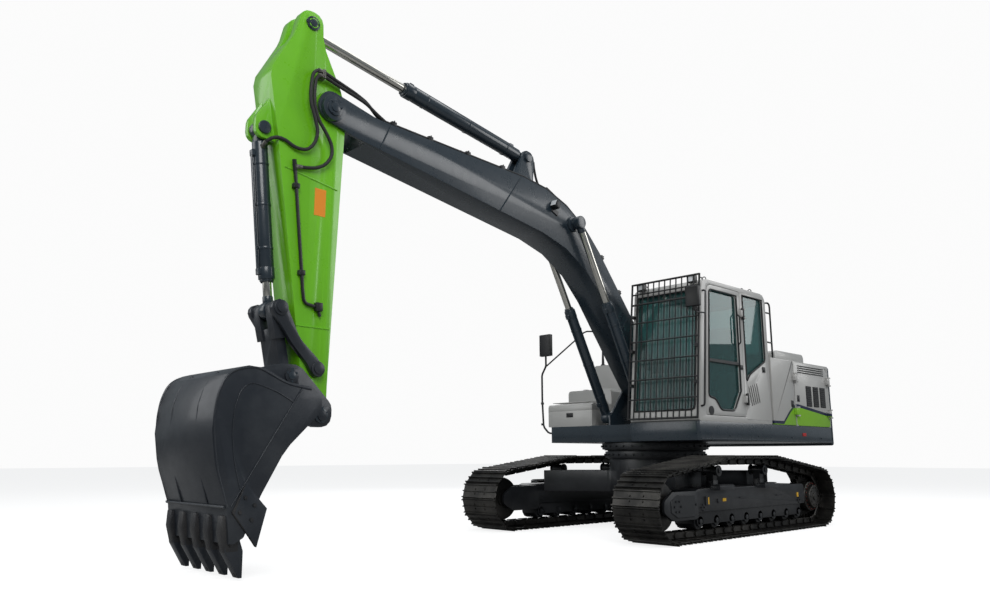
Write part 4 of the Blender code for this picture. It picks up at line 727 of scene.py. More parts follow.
seat_cloth = bpy.data.materials.new("seat_cloth")
seat_cloth.use_nodes = True
tree = seat_cloth.node_tree
shader = tree.nodes["Principled BSDF"]
shader.inputs["Roughness"].default_value = 0.92
shader.inputs["Sheen Weight"].default_value = 0.3
place = tree.nodes.new("ShaderNodeTexCoord")
weave = tree.nodes.new("ShaderNodeTexChecker")
weave.inputs["Scale"].default_value = 320.0
weave.inputs["Color1"].default_value = (0.020, 0.021, 0.023, 1.0)
weave.inputs["Color2"].default_value = (0.040, 0.041, 0.045, 1.0)
thread = tree.nodes.new("ShaderNodeBump")
thread.inputs["Strength"].default_value = 0.4
thread.inputs["Distance"].default_value = 0.0008
tree.links.new(place.outputs["Object"], weave.inputs["Vector"])
tree.links.new(weave.outputs["Color"], shader.inputs["Base Color"])
tree.links.new(weave.outputs["Fac"], thread.inputs["Height"])
tree.links.new(thread.outputs[0], shader.inputs["Normal"])
lamp_glass = metal_paint("lamp_glass", (0.62, 0.64, 0.66), (0.45, 0.46, 0.48), 0.12, 0.0, 0.5, 0.05, 0.8)


def pipe(points, radius, smooth=0.0, sides=3, closed=False):
    """Bent tube through places; smooth rounds its corners."""
    line = bpy.data.curves.new("pipe", "CURVE")
    line.dimensions = "3D"
    line.bevel_depth = radius
    line.bevel_resolution = sides
    line.use_fill_caps = True
    line.resolution_u = 6
    places = [Vector(p) for p in points]
    if smooth > 0.0:
        rounded = [places[0]]
        for before, here, after in zip(places, places[1:], places[2:]):
            to, on = before - here, after - here
            reach = min(smooth, to.length * 0.48, on.length * 0.48)
            start, end = here + to.normalized() * reach, here + on.normalized() * reach
            for k in range(7):
                t = k / 6
                rounded.append(start * (1 - t) ** 2 + here * 2 * t * (1 - t) + end * t ** 2)
        rounded.append(places[-1])
        places = rounded
    spline = line.splines.new("POLY")
    spline.points.add(len(places) - 1)
    spline.use_cyclic_u = closed
    for point, place in zip(spline.points, places):
        point.co = (*place, 1.0)
    piece = bpy.data.objects.new("pipe", line)
    bpy.context.scene.collection.objects.link(piece)
    bpy.ops.object.select_all(action="DESELECT")
    piece.select_set(True)
    bpy.context.view_layer.objects.active = piece
    bpy.ops.object.convert(target="MESH")
    return bpy.context.active_object


def lean_x(z, off=0.0):
    """x of the cab's leaning front at a height."""
    return AXIS_X + 1.06 - 0.19 * (z - 1.3275) / 1.7075 + off


def seal(corners, y, radius=0.010):
    """Rubber strip round a side window, from its side-view corners."""
    return pipe([(AXIS_X + x, y, z) for x, z in corners], radius, 0.05, 1, True)


done(eased("cab_shell", 0.010), "cab_body", "house", grey, "grey_paint", "cab_shell")
door = [eased("cab_door", 0.007)]
done(join(door), "cab_door_leaf", "cab_door_leaf", grey, "grey_paint", "cab_door")
for node, body in (("rear_glass", "house"), ("front_glass", "house"), ("side_glass", "house"),
        ("right_glass", "house"), ("door_glass", "cab_door_leaf")):
    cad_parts[node].data.materials.clear()
    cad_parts[node].data.materials.append(glass_tint)
door_y = CAB_LEFT + 0.001
door_edge = [(0.07, 1.72), (0.25, 1.47), (0.56, 1.47), (0.68, 1.60), (0.83, 1.62), (0.71, 2.92), (0.07, 2.92)]
trim = [seal(door_edge, door_y, 0.012), block((AXIS_X + 0.06, CAB_LEFT - 0.034, 2.035),
        (lean_x(2.05, -0.20), CAB_LEFT + 0.002, 2.075), 0.004, 1)]
trim += [pipe([(AXIS_X + 0.075, door_y + 0.004, 2.30), (AXIS_X + 0.075, door_y + 0.036, 2.32),
        (AXIS_X + 0.075, door_y + 0.036, 2.66), (AXIS_X + 0.075, door_y + 0.004, 2.68)], 0.009, 0.02),
         block((AXIS_X - 0.005, CAB_LEFT - 0.001, 1.985), (AXIS_X + 0.055, CAB_LEFT + 0.010, 2.045), 0.005, 2),
         pipe([(AXIS_X + 0.79, door_y, 1.455), (AXIS_X + 0.79, door_y + 0.008, 1.455)], 0.052, 0.0, 7)]
done(join(trim), "door_trim", "cab_door_leaf", black, "black_parts")
side_edge = [(-0.59, 2.95), (-0.59, 2.14), (-0.17, 1.94), (-0.085, 1.84), (-0.085, 2.95)]
right_edge = [(-0.58, 2.92), (-0.58, 2.00), (0.85, 2.00), (0.76, 2.92)]
trim = [seal(side_edge, door_y, 0.012), seal(right_edge, CAB_RIGHT + 0.003, 0.006)]
trim.append(pipe([(lean_x(z, 0.002), y, z) for y,
        z in ((CAB_RIGHT + 0.06, 1.46), (CAB_LEFT - 0.06, 1.46), (CAB_LEFT - 0.06, 2.90),
                (CAB_RIGHT + 0.06, 2.90))], 0.012, 0.05, 1, True))
trim.append(pipe([(AXIS_X - 0.691, y, z) for y,
        z in ((CAB_RIGHT + 0.10, 2.22), (CAB_LEFT - 0.10, 2.22), (CAB_LEFT - 0.10, 2.90),
                (CAB_RIGHT + 0.10, 2.90))], 0.012, 0.05, 1, True))
done(join(trim), "window_rubber", "house", black_rubber, "black_parts")
stamp = []
for k in range(5):
    x0, z0 = AXIS_X - 0.215 - 0.050 * k, 1.56 + 0.012 * k
    stamp.append(plate([(x0, z0), (x0 + 0.020, z0 - 0.012), (x0 + 0.085, z0 + 0.235),
            (x0 + 0.065, z0 + 0.247)], CAB_LEFT - 0.002, CAB_LEFT + 0.007, "Y", 0.005, 2))
for k in range(3):
    x0 = AXIS_X - 0.06 - 0.21 * k
    stamp.append(block((x0 - 0.17, CAB_LEFT - 0.001, 1.375), (x0, CAB_LEFT + 0.005, 1.382), 0.002, 1))
done(join(stamp), "cab_stampings", "house", grey, "grey_paint")
fittings = [block((AXIS_X - 0.565, CAB_LEFT - 0.001, 1.99), (AXIS_X - 0.505, CAB_LEFT + 0.016, 2.06), 0.006, 2),
            rod((AXIS_X + 0.13, 0.86, 3.030), (AXIS_X + 0.13, 0.86, 3.062), 0.040, 24, 0.006)]
for x in (0.70, -0.29):
    for y in (0.47, 1.26):
        fittings.append(pipe([(AXIS_X + x, y, 3.03), (AXIS_X + x, y, 3.075), (AXIS_X + x + 0.05, y, 3.075),
                (AXIS_X + x + 0.05, y, 3.03)], 0.007, 0.02))
for x in (0.62, -0.50):
    bpy.ops.mesh.primitive_torus_add(location=(AXIS_X + x, 1.24, 3.075), rotation=(0, math.radians(90), 0),
                                     major_radius=0.024, minor_radius=0.006, major_segments=28,
                                             minor_segments=10)
    eye = bpy.context.active_object
    bpy.ops.object.transform_apply(location=True, rotation=True, scale=True)
    fittings += [eye, rod((AXIS_X + x, 1.24, 3.028), (AXIS_X + x, 1.24, 3.055), 0.010, 12, 0.002)]
# Thin black strips beside the pressed ribs are painted shade. They stand for the shaded slots between the ribs.
for k in range(5):
    x0, z0 = AXIS_X - 0.215 - 0.050 * k + 0.023, 1.56 + 0.012 * k - 0.010
    painted_slot_shade = [(x0, z0), (x0 + 0.007, z0 - 0.004), (x0 + 0.070, z0 + 0.232), (x0 + 0.063, z0 + 0.236)]
    fittings.append(plate(painted_slot_shade, CAB_LEFT - 0.002, CAB_LEFT + 0.003, "Y", 0.0005, 1))
fittings.append(block((AXIS_X - 0.45, 0.52, 3.030), (AXIS_X + 0.55, 1.20, 3.042), 0.005, 2))
for z in (1.62, 2.70):
    fittings.append(rod((AXIS_X - 0.03, 1.379, z - 0.074), (AXIS_X - 0.03, 1.379, z + 0.074), 0.019, 20, 0.004))
# This black piece holds real fittings and also the painted slot shade beside the cab's pressed ribs.
done(join(fittings), "cab_fittings_and_slot_shade", "house", black, "black_parts")
boxes, lenses = [], []
for y in (0.51, 1.24):
    x = lean_x(2.99, 0.005)
    boxes += [block((x - 0.02, y - 0.055, 2.985), (x + 0.052, y + 0.055, 3.075), 0.010, 2)]
    lenses.append(block((x + 0.050, y - 0.042, 2.996), (x + 0.056, y + 0.042, 3.062), 0.003, 1))
done(join(boxes), "work_light_cases", "house", black, "black_parts")
done(join(lenses), "work_light_lenses", "house", lamp_glass, "black_parts")

middle = (CAB_LEFT + CAB_RIGHT) / 2
cushion = block((AXIS_X - 0.24, middle - 0.235, 1.722), (AXIS_X + 0.27, middle + 0.235, 1.860), 0.045, 4)
back = plate(side([(-0.34, 1.80), (-0.20, 1.80), (-0.25, 2.58), (-0.37, 2.58)]), middle - 0.225,
        middle + 0.225, "Y", 0.050, 4)
rest = block((AXIS_X - 0.365, middle - 0.13, 2.50), (AXIS_X - 0.265, middle + 0.13, 2.60), 0.035, 4)
seat = join([rest, back, cushion])
soften = seat.modifiers.new("soften", "SUBSURF")
soften.levels = soften.render_levels = 1
bpy.ops.object.modifier_apply(modifier="soften")
done(seat, "seat_cushions", "house", seat_cloth, "seat_fabric", "seat", smooth=60)
console = [eased("seat_base", 0.012)]
for y in (middle + 0.34, middle - 0.34):
    console.append(rod((AXIS_X + 0.20, y, 1.93), (AXIS_X + 0.24, y, 2.10), 0.014, 12, 0.0))
    console.append(rod((AXIS_X + 0.235, y, 2.07), (AXIS_X + 0.255, y, 2.17), 0.024, 16, 0.008))
for y in (middle - 0.10, middle + 0.10):
    console.append(rod((AXIS_X + 0.62, y, 1.38), (AXIS_X + 0.52, y, 1.72), 0.012, 12, 0.0))
    console.append(block((AXIS_X + 0.60, y - 0.045, 1.385), (AXIS_X + 0.80, y + 0.045, 1.405), 0.004, 1))
console.append(block((AXIS_X + 0.70, CAB_RIGHT + 0.11, 1.95), (AXIS_X + 0.76, CAB_RIGHT + 0.30, 2.12), 0.010,
        2))
done(join(console), "seat_stand_and_levers", "house", black, "black_parts", "seat_base")

# ---- front guard -------------------------------------------------------------------------------
# Welded grid of round bars bolted in front of the windscreen, leaning with it, with a short fence
# above the roof line. It keeps falling stones off the glass.
bars = []
GUARD_LOW, GUARD_HIGH, GUARD_Y = 1.352, 3.078, (0.400, 1.368)
for k in range(13):
    y = GUARD_Y[0] + (GUARD_Y[1] - GUARD_Y[0]) * k / 12
    radius = 0.013 if k in (0, 12) else 0.0085
    bars.append(rod((lean_x(GUARD_LOW, 0.070), y, GUARD_LOW), (lean_x(GUARD_HIGH, 0.070), y, GUARD_HIGH),
            radius, 10))
for z, radius in ((1.365, 0.013), (1.60, 0.010), (1.84, 0.010), (2.08, 0.010), (2.32, 0.010), (2.56, 0.010),
        (2.80, 0.013), (2.935, 0.010), (3.068, 0.013)):
    bars.append(rod((lean_x(z, 0.077), GUARD_Y[0], z), (lean_x(z, 0.077), GUARD_Y[1], z), radius, 10))
for y in (0.411, 1.324):
    for z in (1.78, 2.21, 2.65):
        bars.append(block((lean_x(z, 0.001), y - 0.018, z - 0.02), (lean_x(z, 0.072), y + 0.018, z + 0.02),
                0.004, 1))
done(join(bars), "guard_bars", "house", black, "black_parts", "front_guard")

# ---- mirrors and handrails ---------------------------------------------------------------------
# Bent black tube carries a mirror on each side; a loop of tube behind the cab and a rail over the
# tanks are there to hold on to.
mirror_face = metal_paint("mirror_face", (0.75, 0.78, 0.80), (0.68, 0.71, 0.73), 0.10, 1.0, 0.3)
low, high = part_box("left_mirror")
left = [eased("left_mirror", 0.002), block((AXIS_X + 1.112, 1.300, 2.645), (AXIS_X + 1.168, 1.480, 2.885),
        0.014, 3)]
done(join(left), "left_mirror_head", "house", black, "black_parts", "left_mirror")
right = [eased("right_mirror", 0.002), block((AXIS_X + 0.527, -1.538, 2.355), (AXIS_X + 0.593, -1.332, 2.675),
        0.018, 3)]
for z in (1.36, 1.66):
    right.append(block((AXIS_X + 0.542, -1.536, z), (AXIS_X + 0.578, -1.500, z + 0.03), 0.004, 1))
done(join(right), "right_mirror_head", "house", black, "black_parts", "right_mirror")
faces = [block((AXIS_X + 1.108, 1.315, 2.66), (AXIS_X + 1.113, 1.465, 2.87), 0.002, 1),
         block((AXIS_X + 0.523, -1.520, 2.375), (AXIS_X + 0.528, -1.350, 2.655), 0.002, 1)]
done(join(faces), "mirror_glasses", "house", mirror_face, "black_parts")
done(eased("cab_handrail", 0.001), "rear_handrail", "house", black, "black_parts", "cab_handrail")

# ---- boom --------------------------------------------------------------------------------------
# Welded box boom in dark slate, bent in the middle. Weld beads mark where its castings and plates
# meet. Hard oil lines run up both sides, clamped at intervals, and turn to hose at the tip.
BOOM_PLACE = Matrix.Translation((AXIS_X + 0.174, 0, 1.806)) @ Matrix.Rotation(-math.radians(24.42), 4, "Y")
BOOM_HALF = 0.20
line_black = metal_paint("oil_line", (0.010, 0.010, 0.011), (0.026, 0.027, 0.03), 0.38, 0.0, 0.5)


def bead(points, place, radius=0.0075):
    """Weld bead along places given in a body's own axes."""
    return moved(pipe(points, radius, 0.0, 1), place)


boom = [eased("boom", 0.008, 2, 24.0)]
for x0, x1, low, high in ((5.09, 5.09, 0.014, 0.335), (3.447, 3.332, 0.464, 1.045), (1.02, 0.90, 0.287, 0.614)):
    for way in (1, -1):
        boom.append(bead([(x0, way * (BOOM_HALF + 0.001), low), (x1, way * (BOOM_HALF + 0.001), high)],
                BOOM_PLACE))
done(join(boom), "boom_body", "boom_body", slate, "slate_paint", "boom")
TIP, ROD_EYE, ARM_BASE = (5.708, 0.0), (2.342, 1.059), (3.256, 1.439)


def pin_end(point, way, face, radius, place, bolts=3):
    """Pin head with its keeper plate and bolts, outside a boss."""
    parts = [across(point, *sorted((way * (face - 0.004), way * (face + 0.016))), radius * 0.74, 32, 0.005),
             across(point, *sorted((way * (face + 0.012), way * (face + 0.026))), radius * 0.42, 24, 0.004)]
    for k in range(bolts):
        angle = 2 * math.pi * k / bolts + 0.5
        x, z = point[0] + radius * 0.58 * math.cos(angle), point[1] + radius * 0.58 * math.sin(angle)
        parts.append(rod((x, way * (face + 0.012), z), (x, way * (face + 0.024), z), 0.011, 6))
    keeper = block((point[0] - 0.018, min(way * (face + 0.012), way * (face + 0.022)), point[1]),
                   (point[0] + 0.018, max(way * (face + 0.012), way * (face + 0.022)),
                           point[1] + radius * 0.85), 0.004, 1)
    return [moved(piece, place) for piece in (*parts, keeper)]


ends = []
for way in (1, -1):
    ends += pin_end(TIP, way, BOOM_HALF + 0.05, 0.11, BOOM_PLACE)
    ends += pin_end((0.0, 0.0), way, BOOM_HALF + 0.035, 0.085, BOOM_PLACE)
    ends += [moved(across(ARM_BASE, *sorted((way * 0.09, way * 0.118)), 0.062, 28, 0.005), BOOM_PLACE)]
    ends += [moved(across(ROD_EYE, *sorted((way * 0.198, way * 0.235)), 0.098, 36, 0.008), BOOM_PLACE)]
done(join(ends), "boom_pin_ends", "boom_body", slate, "slate_paint")
for way, name in ((1, "left"), (-1, "right")):
    lines = [eased("boom_pipes_" + name, 0.0015, 1)]
    for x, z, slope in ((1.20, 0.7631, 25.6), (1.68, 0.993, 25.6), (3.60, 0.9416, -22.0),
            (4.10, 0.7396, -22.0), (4.60, 0.5376, -22.0), (5.05, 0.3558, -22.0)):
        tilt = Matrix.Translation((x, 0, z)) @ Matrix.Rotation(-math.radians(slope), 4, "Y")
        low, high = sorted((way * 0.099, way * 0.196))
        lines.append(moved(block((-0.032, low, 0.004), (0.032, high, 0.049), 0.007, 2), BOOM_PLACE @ tilt))
        for y in (0.148, 0.104, 0.191):
            lines.append(moved(rod((0, way * y, 0.045), (0, way * y, 0.058), 0.008, 6), BOOM_PLACE @ tilt))
    done(join(lines), "boom_oil_lines_" + name, "boom_body", line_black, "black_parts", "boom_pipes_" + name)
top = []
for y, radius in ((-0.075, 0.013), (-0.035, 0.013), (0.035, 0.012), (0.075, 0.012)):
    route = [(1.20, y, 0.80), (1.75, y, 1.062), (2.12, y, 1.20), (2.56, y, 1.24), (2.95, y, 1.225),
            (3.30, y, 1.12), (4.30, y, 0.70), (5.02, y, 0.40)]
    top.append(moved(pipe(route, radius, 0.2), BOOM_PLACE))
for x, z in ((1.55, 0.967), (3.55, 0.985), (4.15, 0.742), (4.75, 0.498)):
    top.append(moved(block((x - 0.022, -0.125, z - 0.022), (x + 0.022, 0.115, z + 0.052), 0.007, 2),
            BOOM_PLACE))
top.append(moved(block((2.60, -0.14, 1.195), (2.86, 0.13, 1.285), 0.014, 2), BOOM_PLACE))
for k in range(4):
    top.append(moved(rod((2.64 + 0.06 * k, -0.10, 1.28), (2.64 + 0.06 * k, -0.10, 1.315), 0.015, 6),
            BOOM_PLACE))
done(join(top), "boom_top_lines", "boom_body", line_black, "black_parts")
hoses = []
for way in (1, -1):
    hoses.append(moved(pipe([(2.86, way * 0.05, 1.24), (2.98, way * 0.05, 1.30), (3.10, way * 0.075, 1.40),
            (3.14, way * 0.078, 1.46)], 0.014, 0.08), BOOM_PLACE))
    hoses.append(moved(pipe([(0.62, way * 0.170, 0.508), (0.42, way * 0.168, 0.43), (0.20, way * 0.13, 0.36),
            (0.05, way * 0.10, 0.24)], 0.015, 0.1), BOOM_PLACE))
done(join(hoses), "boom_hoses", "boom_body", black_rubber, "black_parts")
lamp = [moved(block((2.70, 0.206, 1.01), (2.78, 0.30, 1.10), 0.012, 2), BOOM_PLACE),
        moved(block((2.62, 0.200, 0.98), (2.74, 0.215, 1.04), 0.004, 1), BOOM_PLACE)]
done(join(lamp), "boom_lamp_case", "boom_body", black, "black_parts")
lens = moved(block((2.779, 0.216, 1.02), (2.785, 0.292, 1.09), 0.002, 1), BOOM_PLACE)
done(lens, "boom_lamp_lens", "boom_body", lamp_glass, "black_parts")

# ---- arm ---------------------------------------------------------------------------------------
# Lime green box arm on the boom's tip. Its horn takes the arm cylinder, and the ears on its back
# hold the bucket cylinder. Two hoses loop from the boom's tip to its left side.
ARM_PLACE = BOOM_PLACE @ Matrix.Translation((5.708, 0, 0)) @ Matrix.Rotation(math.radians(89.66 + 24.42), 4,
        "Y")
ARM_HALF = 0.165
lime = metal_paint("lime_paint", (0.155, 0.50, 0.010), (0.12, 0.42, 0.012), 0.28, 0.0, 0.45, 0.02, 0.4)
arm = [eased("arm", 0.008, 2, 24.0)]
for x0, z0, x1, z1 in ((0.676, 0.445, 0.771, -0.115), (2.10, 0.26, 2.10, -0.085)):
    for way in (1, -1):
        arm.append(bead([(x0, way * (ARM_HALF + 0.001), z0), (x1, way * (ARM_HALF + 0.001), z1)], ARM_PLACE))
done(join(arm), "arm_body", "arm_body", lime, "lime_paint", "arm")
tag = moved(block((0.80, ARM_HALF - 0.001, 0.005), (1.06, ARM_HALF + 0.0025, 0.125), 0.001, 1), ARM_PLACE)
tag_orange = metal_paint("tag_orange", (0.80, 0.26, 0.01), (0.70, 0.24, 0.02), 0.4)
done(tag, "arm_blank_tag", "arm_body", tag_orange, "lime_paint")
ends = []
BUCKET_BASE, HORN = (0.338, 0.632), (-0.809, 0.225)
for way in (1, -1):
    ends += pin_end(HORN, way, ARM_HALF, 0.095, ARM_PLACE)
    ends += [moved(across(BUCKET_BASE, *sorted((way * 0.094, way * 0.120)), 0.060, 28, 0.005), ARM_PLACE)]
done(join(ends), "arm_pin_ends", "arm_body", slate, "slate_paint")
line = [moved(pipe([(0.66, 0.195, 0.362), (0.72, 0.195, 0.352), (1.80, 0.195, 0.222), (1.90, 0.190, 0.20),
        (1.915, 0.185, 0.075)], 0.016, 0.08), ARM_PLACE)]
for x, z in ((0.84, 0.338), (1.63, 0.243)):
    line.append(moved(block((x - 0.024, ARM_HALF - 0.001, z - 0.030), (x + 0.024, 0.216, z + 0.030), 0.006,
            2), ARM_PLACE))
line += [moved(block((1.875, ARM_HALF - 0.001, 0.015), (1.955, 0.212, 0.085), 0.008, 2), ARM_PLACE),
         moved(rod((1.955, 0.185, 0.045), (2.00, 0.185, 0.030), 0.014, 8, 0.0), ARM_PLACE),
         moved(rod((0.60, 0.195, 0.370), (0.70, 0.195, 0.355), 0.022, 6), ARM_PLACE)]
done(join(line), "arm_oil_line", "arm_body", line_black, "black_parts", "arm_pipe")
HOSE_RADIUS = 0.0165
LONG_LOOP = ((-0.285, 0.224, 0.13), (-0.28, 0.227, 0.17), (-0.23, 0.228, 0.205), (-0.11, 0.228, 0.215),
        (0.03, 0.228, 0.205),
             (0.16, 0.226, 0.155), (0.28, 0.224, 0.055), (0.38, 0.224, -0.005), (0.48, 0.222, -0.005),
                     (0.57, 0.212, 0.05),
             (0.625, 0.202, 0.14), (0.645, 0.196, 0.24), (0.66, 0.195, 0.345))
SHORT_LOOP = ((-0.325, 0.224, 0.13), (-0.325, 0.232, 0.19), (-0.27, 0.240, 0.245), (-0.12, 0.242, 0.262),
        (0.02, 0.240, 0.255),
              (0.15, 0.234, 0.20), (0.28, 0.226, 0.155), (0.40, 0.220, 0.18), (0.485, 0.208, 0.255),
                      (0.485, 0.195, 0.37),
              (0.43, 0.185, 0.47), (0.425, 0.165, 0.56), (0.47, 0.115, 0.615), (0.50, 0.068, 0.618))
for name, route in (("arm_hose_long", LONG_LOOP), ("arm_hose_short", SHORT_LOOP)):
    done(moved(pipe(route, HOSE_RADIUS, 0.05, 12), ARM_PLACE), name, "arm_body", black_rubber, "black_parts")
fittings = []
for name, route, ends in (("long", LONG_LOOP, ((0, 1), (-1, -2))), ("short", SHORT_LOOP, ((0, 1), (-1, -2)))):
    for tip, inner in ends:
        tip, inner = Vector(route[tip]), Vector(route[inner])
        along = (inner - tip).normalized()
        fittings.append(rod(tip - along * 0.01, tip + along * 0.055, HOSE_RADIUS + 0.004, 16, 0.003))
        fittings.append(rod(tip - along * 0.02, tip + along * 0.005, HOSE_RADIUS + 0.010, 6, 0.002))
fittings += [block((-0.355, ARM_HALF - 0.001, 0.10), (-0.255, 0.205, 0.15), 0.008, 2),
             block((-0.350, 0.200, 0.105), (-0.260, 0.246, 0.138), 0.006, 2)]
fitting_steel = metal_paint("fitting_steel", (0.16, 0.155, 0.14), (0.09, 0.088, 0.08), 0.34, 0.8, 0.6)
done(join([moved(piece, ARM_PLACE) for piece in fittings]), "arm_hose_fittings", "arm_body", fitting_steel,
        "black_parts")
tip_bracket = BOOM_PLACE.inverted() @ ARM_PLACE
for k, arm_x in ((0, -0.285), (1, -0.325)):
    last = tip_bracket @ Vector((arm_x, 0.224, 0.10))
    route = ((5.158, 0.170 - 0.045 * k, 0.3353), (5.27, 0.172 - 0.03 * k, 0.335 + 0.01 * k),
            (5.42, 0.190 - 0.01 * k, 0.335 + 0.02 * k),
             (5.58, 0.205, 0.295 + 0.03 * k), (last.x - 0.10, 0.222, last.z + 0.015), tuple(last))
    route = [BOOM_PLACE @ Vector(point) for point in route]
    jumper = pipe([tuple(point) for point in route], HOSE_RADIUS, 0.06, 8)
    bpy.ops.object.select_all(action="DESELECT")
    jumper.select_set(True)
    bpy.context.view_layer.objects.active = jumper
    jumper.name = jumper.data.name = "tip_hose_" + ("outer", "inner")[k]
    jumper.data.materials.clear()
    jumper.data.materials.append(black_rubber)
    bpy.ops.object.shade_smooth_by_angle(angle=math.radians(40))
    tuple(route[2])
    tuple(route[-2])
    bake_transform(jumper)

# ---- bucket and its linkage --------------------------------------------------------------------
# Welded digging bucket of dark plate with five cast teeth on adapters, bolted side cutters and
# wear strips on its back. A pair of rockers and a box link tie it to the bucket cylinder.
BUCKET_PLACE = ARM_PLACE @ Matrix.Translation((2.886, 0, 0)) @ Matrix.Rotation(-math.radians(89.66), 4, "Y")
bucket_paint = metal_paint("bucket_paint", (0.017, 0.021, 0.028), (0.050, 0.055, 0.062), 0.33, 0.25, 0.75,
        0.05, 0.15)
tooth_iron = metal_paint("tooth_iron", (0.020, 0.021, 0.024), (0.065, 0.062, 0.060), 0.42, 0.35, 0.8, 0.25)
HALF = 0.54
bucket = [eased("bucket", 0.007, 2, 26.0)]
SHELL_BACK = ((0.80, 0.352), (0.98, 0.318), (1.085, 0.205), (1.135, 0.05), (1.140, -0.15), (1.110, -0.36),
        (1.062, -0.55), (1.005, -0.735))
for y in (-0.24, 0.24):
    bucket.append(moved(pipe([(x, y, z) for x, z in SHELL_BACK[1:]], 0.006, 0.05, 2), BUCKET_PLACE))
for x, z, reach, bead_r in ((1.096, -0.43, 0.24, 0.005), (1.008, -0.728, HALF - 0.01, 0.012)):
    bucket.append(moved(pipe([(x, -reach, z), (x, reach, z)], bead_r, 0.0, 2), BUCKET_PLACE))
for way in (1, -1):
    face = way * (HALF + 0.001)
    band = ((0.895, -0.60), (0.955, -0.40), (0.985, -0.18), (0.975, 0.03), (0.93, 0.16), (0.85, 0.225),
            (0.74, 0.20), (0.60, 0.155), (0.47, 0.085))
    for seam, bead_r in ((band, 0.005), (((0.962, -0.725), (0.39, 0.195)), 0.007)):
        bucket.append(moved(pipe([(x, face, z) for x, z in seam], bead_r, 0.08, 2), BUCKET_PLACE))
    rim = ((0.30, 0.195), (0.525, 0.228), (0.80, 0.352), (0.97, 0.318), (1.06, 0.255), (1.115, 0.13),
            (1.140, -0.05), (1.122, -0.25), (1.085, -0.46), (0.99, -0.735))
    bucket.append(moved(pipe([(x, way * (HALF - 0.002), z) for x, z in rim], 0.009, 0.08, 2), BUCKET_PLACE))
done(join(bucket), "bucket_body", "bucket_body", bucket_paint, "bucket_paint", "bucket")
teeth = []
TOOTH = ((1.00, -0.86), (0.968, -1.04), (0.862, -1.252), (0.838, -1.254), (0.848, -1.06), (0.900, -0.88))
ADAPTER = ((1.010, -0.79), (1.016, -0.92), (0.974, -1.07), (0.862, -1.07), (0.865, -0.95), (0.905, -0.82))
for k in range(-2, 3):
    y = 0.2325 * k
    tooth = plate(TOOTH, y - 0.044, y + 0.044, "Y", 0.010, 2)
    for vertex in tooth.data.vertices:
        vertex.co.y = y + (vertex.co.y - y) * min(1.0, max(0.42, 1.0 + (vertex.co.z + 1.06) * 3.0))
    teeth.append(moved(tooth, BUCKET_PLACE))
    teeth.append(moved(plate(ADAPTER, y - 0.046, y + 0.046, "Y", 0.012, 2), BUCKET_PLACE))
    teeth.append(moved(across((0.93, -1.01), y - 0.052, y + 0.052, 0.016, 12, 0.003), BUCKET_PLACE))
for way in (1, -1):
    cutter = ((0.857, -0.558), (0.671, -0.749), (0.746, -1.036), (0.958, -0.770))
    teeth.append(moved(plate(cutter, *sorted((way * (HALF - 0.004), way * (HALF + 0.021))), "Y", 0.006),
            BUCKET_PLACE))
    for x, z in ((0.86, -0.66), (0.90, -0.77), (0.80, -0.83), (0.78, -0.72)):
        teeth.append(moved(rod((x, way * (HALF + 0.018), z), (x, way * (HALF + 0.034), z), 0.015, 6),
                BUCKET_PLACE))
done(join(teeth), "bucket_teeth", "bucket_body", tooth_iron, "bucket_paint")
ends = []
for way in (1, -1):
    ends += pin_end((0.0, 0.0), way, ARM_HALF + 0.055, 0.09, BUCKET_PLACE)
    ends += pin_end((0.311, 0.331), way, ARM_HALF + 0.055, 0.085, BUCKET_PLACE)
done(join(ends), "bucket_pin_ends", "bucket_body", slate, "bucket_paint")
rocker_a = ARM_PLACE @ Vector((2.478, 0.0, 0.052))
LINK_PIN = (AXIS_X + 5.8255, 2.1945)
rockers = [eased("rockers", 0.006)]
for point in ((rocker_a.x, rocker_a.z), LINK_PIN):
    for way in (1, -1):
        rockers.append(across(point, *sorted((way * 0.214, way * 0.236)), 0.068, 28, 0.006))
        rockers.append(across(point, *sorted((way * 0.232, way * 0.2505)), 0.040, 24, 0.005))
done(join(rockers), "rocker_pair", "rocker_body", bucket_paint, "bucket_paint", "rockers")
done(eased("bucket_link", 0.006), "box_link", "link_body", bucket_paint, "bucket_paint", "bucket_link")

# ---- cylinders ---------------------------------------------------------------------------------
# Four double-acting cylinders: slate barrels with a bolted gland at the head, banded oil pipes on
# their backs, and ground chrome rods ending in forged eyes.
chrome = bpy.data.materials.new("rod_chrome")
chrome.use_nodes = True
tree = chrome.node_tree
shader = tree.nodes["Principled BSDF"]
shader.inputs["Metallic"].default_value = 1.0
place = tree.nodes.new("ShaderNodeTexCoord")
smear = tree.nodes.new("ShaderNodeTexNoise")
smear.inputs["Scale"].default_value = 14.0
film = tree.nodes.new("ShaderNodeMapRange")
film.inputs["To Min"].default_value = 0.10
film.inputs["To Max"].default_value = 0.30
tone = tree.nodes.new("ShaderNodeMix")
tone.data_type = "RGBA"
tone.inputs["A"].default_value = (0.72, 0.70, 0.64, 1.0)
tone.inputs["B"].default_value = (0.52, 0.50, 0.46, 1.0)
tree.links.new(place.outputs["Object"], smear.inputs["Vector"])
tree.links.new(smear.outputs["Fac"], film.inputs["Value"])
tree.links.new(film.outputs[0], shader.inputs["Roughness"])
tree.links.new(smear.outputs["Fac"], tone.inputs["Factor"])
tree.links.new(tone.outputs["Result"], shader.inputs["Base Color"])
horn = ARM_PLACE @ Vector((-0.809, 0, 0.225))
arm_base = BOOM_PLACE @ Vector((3.256, 0, 1.439))
boom_eye = BOOM_PLACE @ Vector((2.342, 0, 1.059))
bucket_base = ARM_PLACE @ Vector((0.338, 0, 0.632))
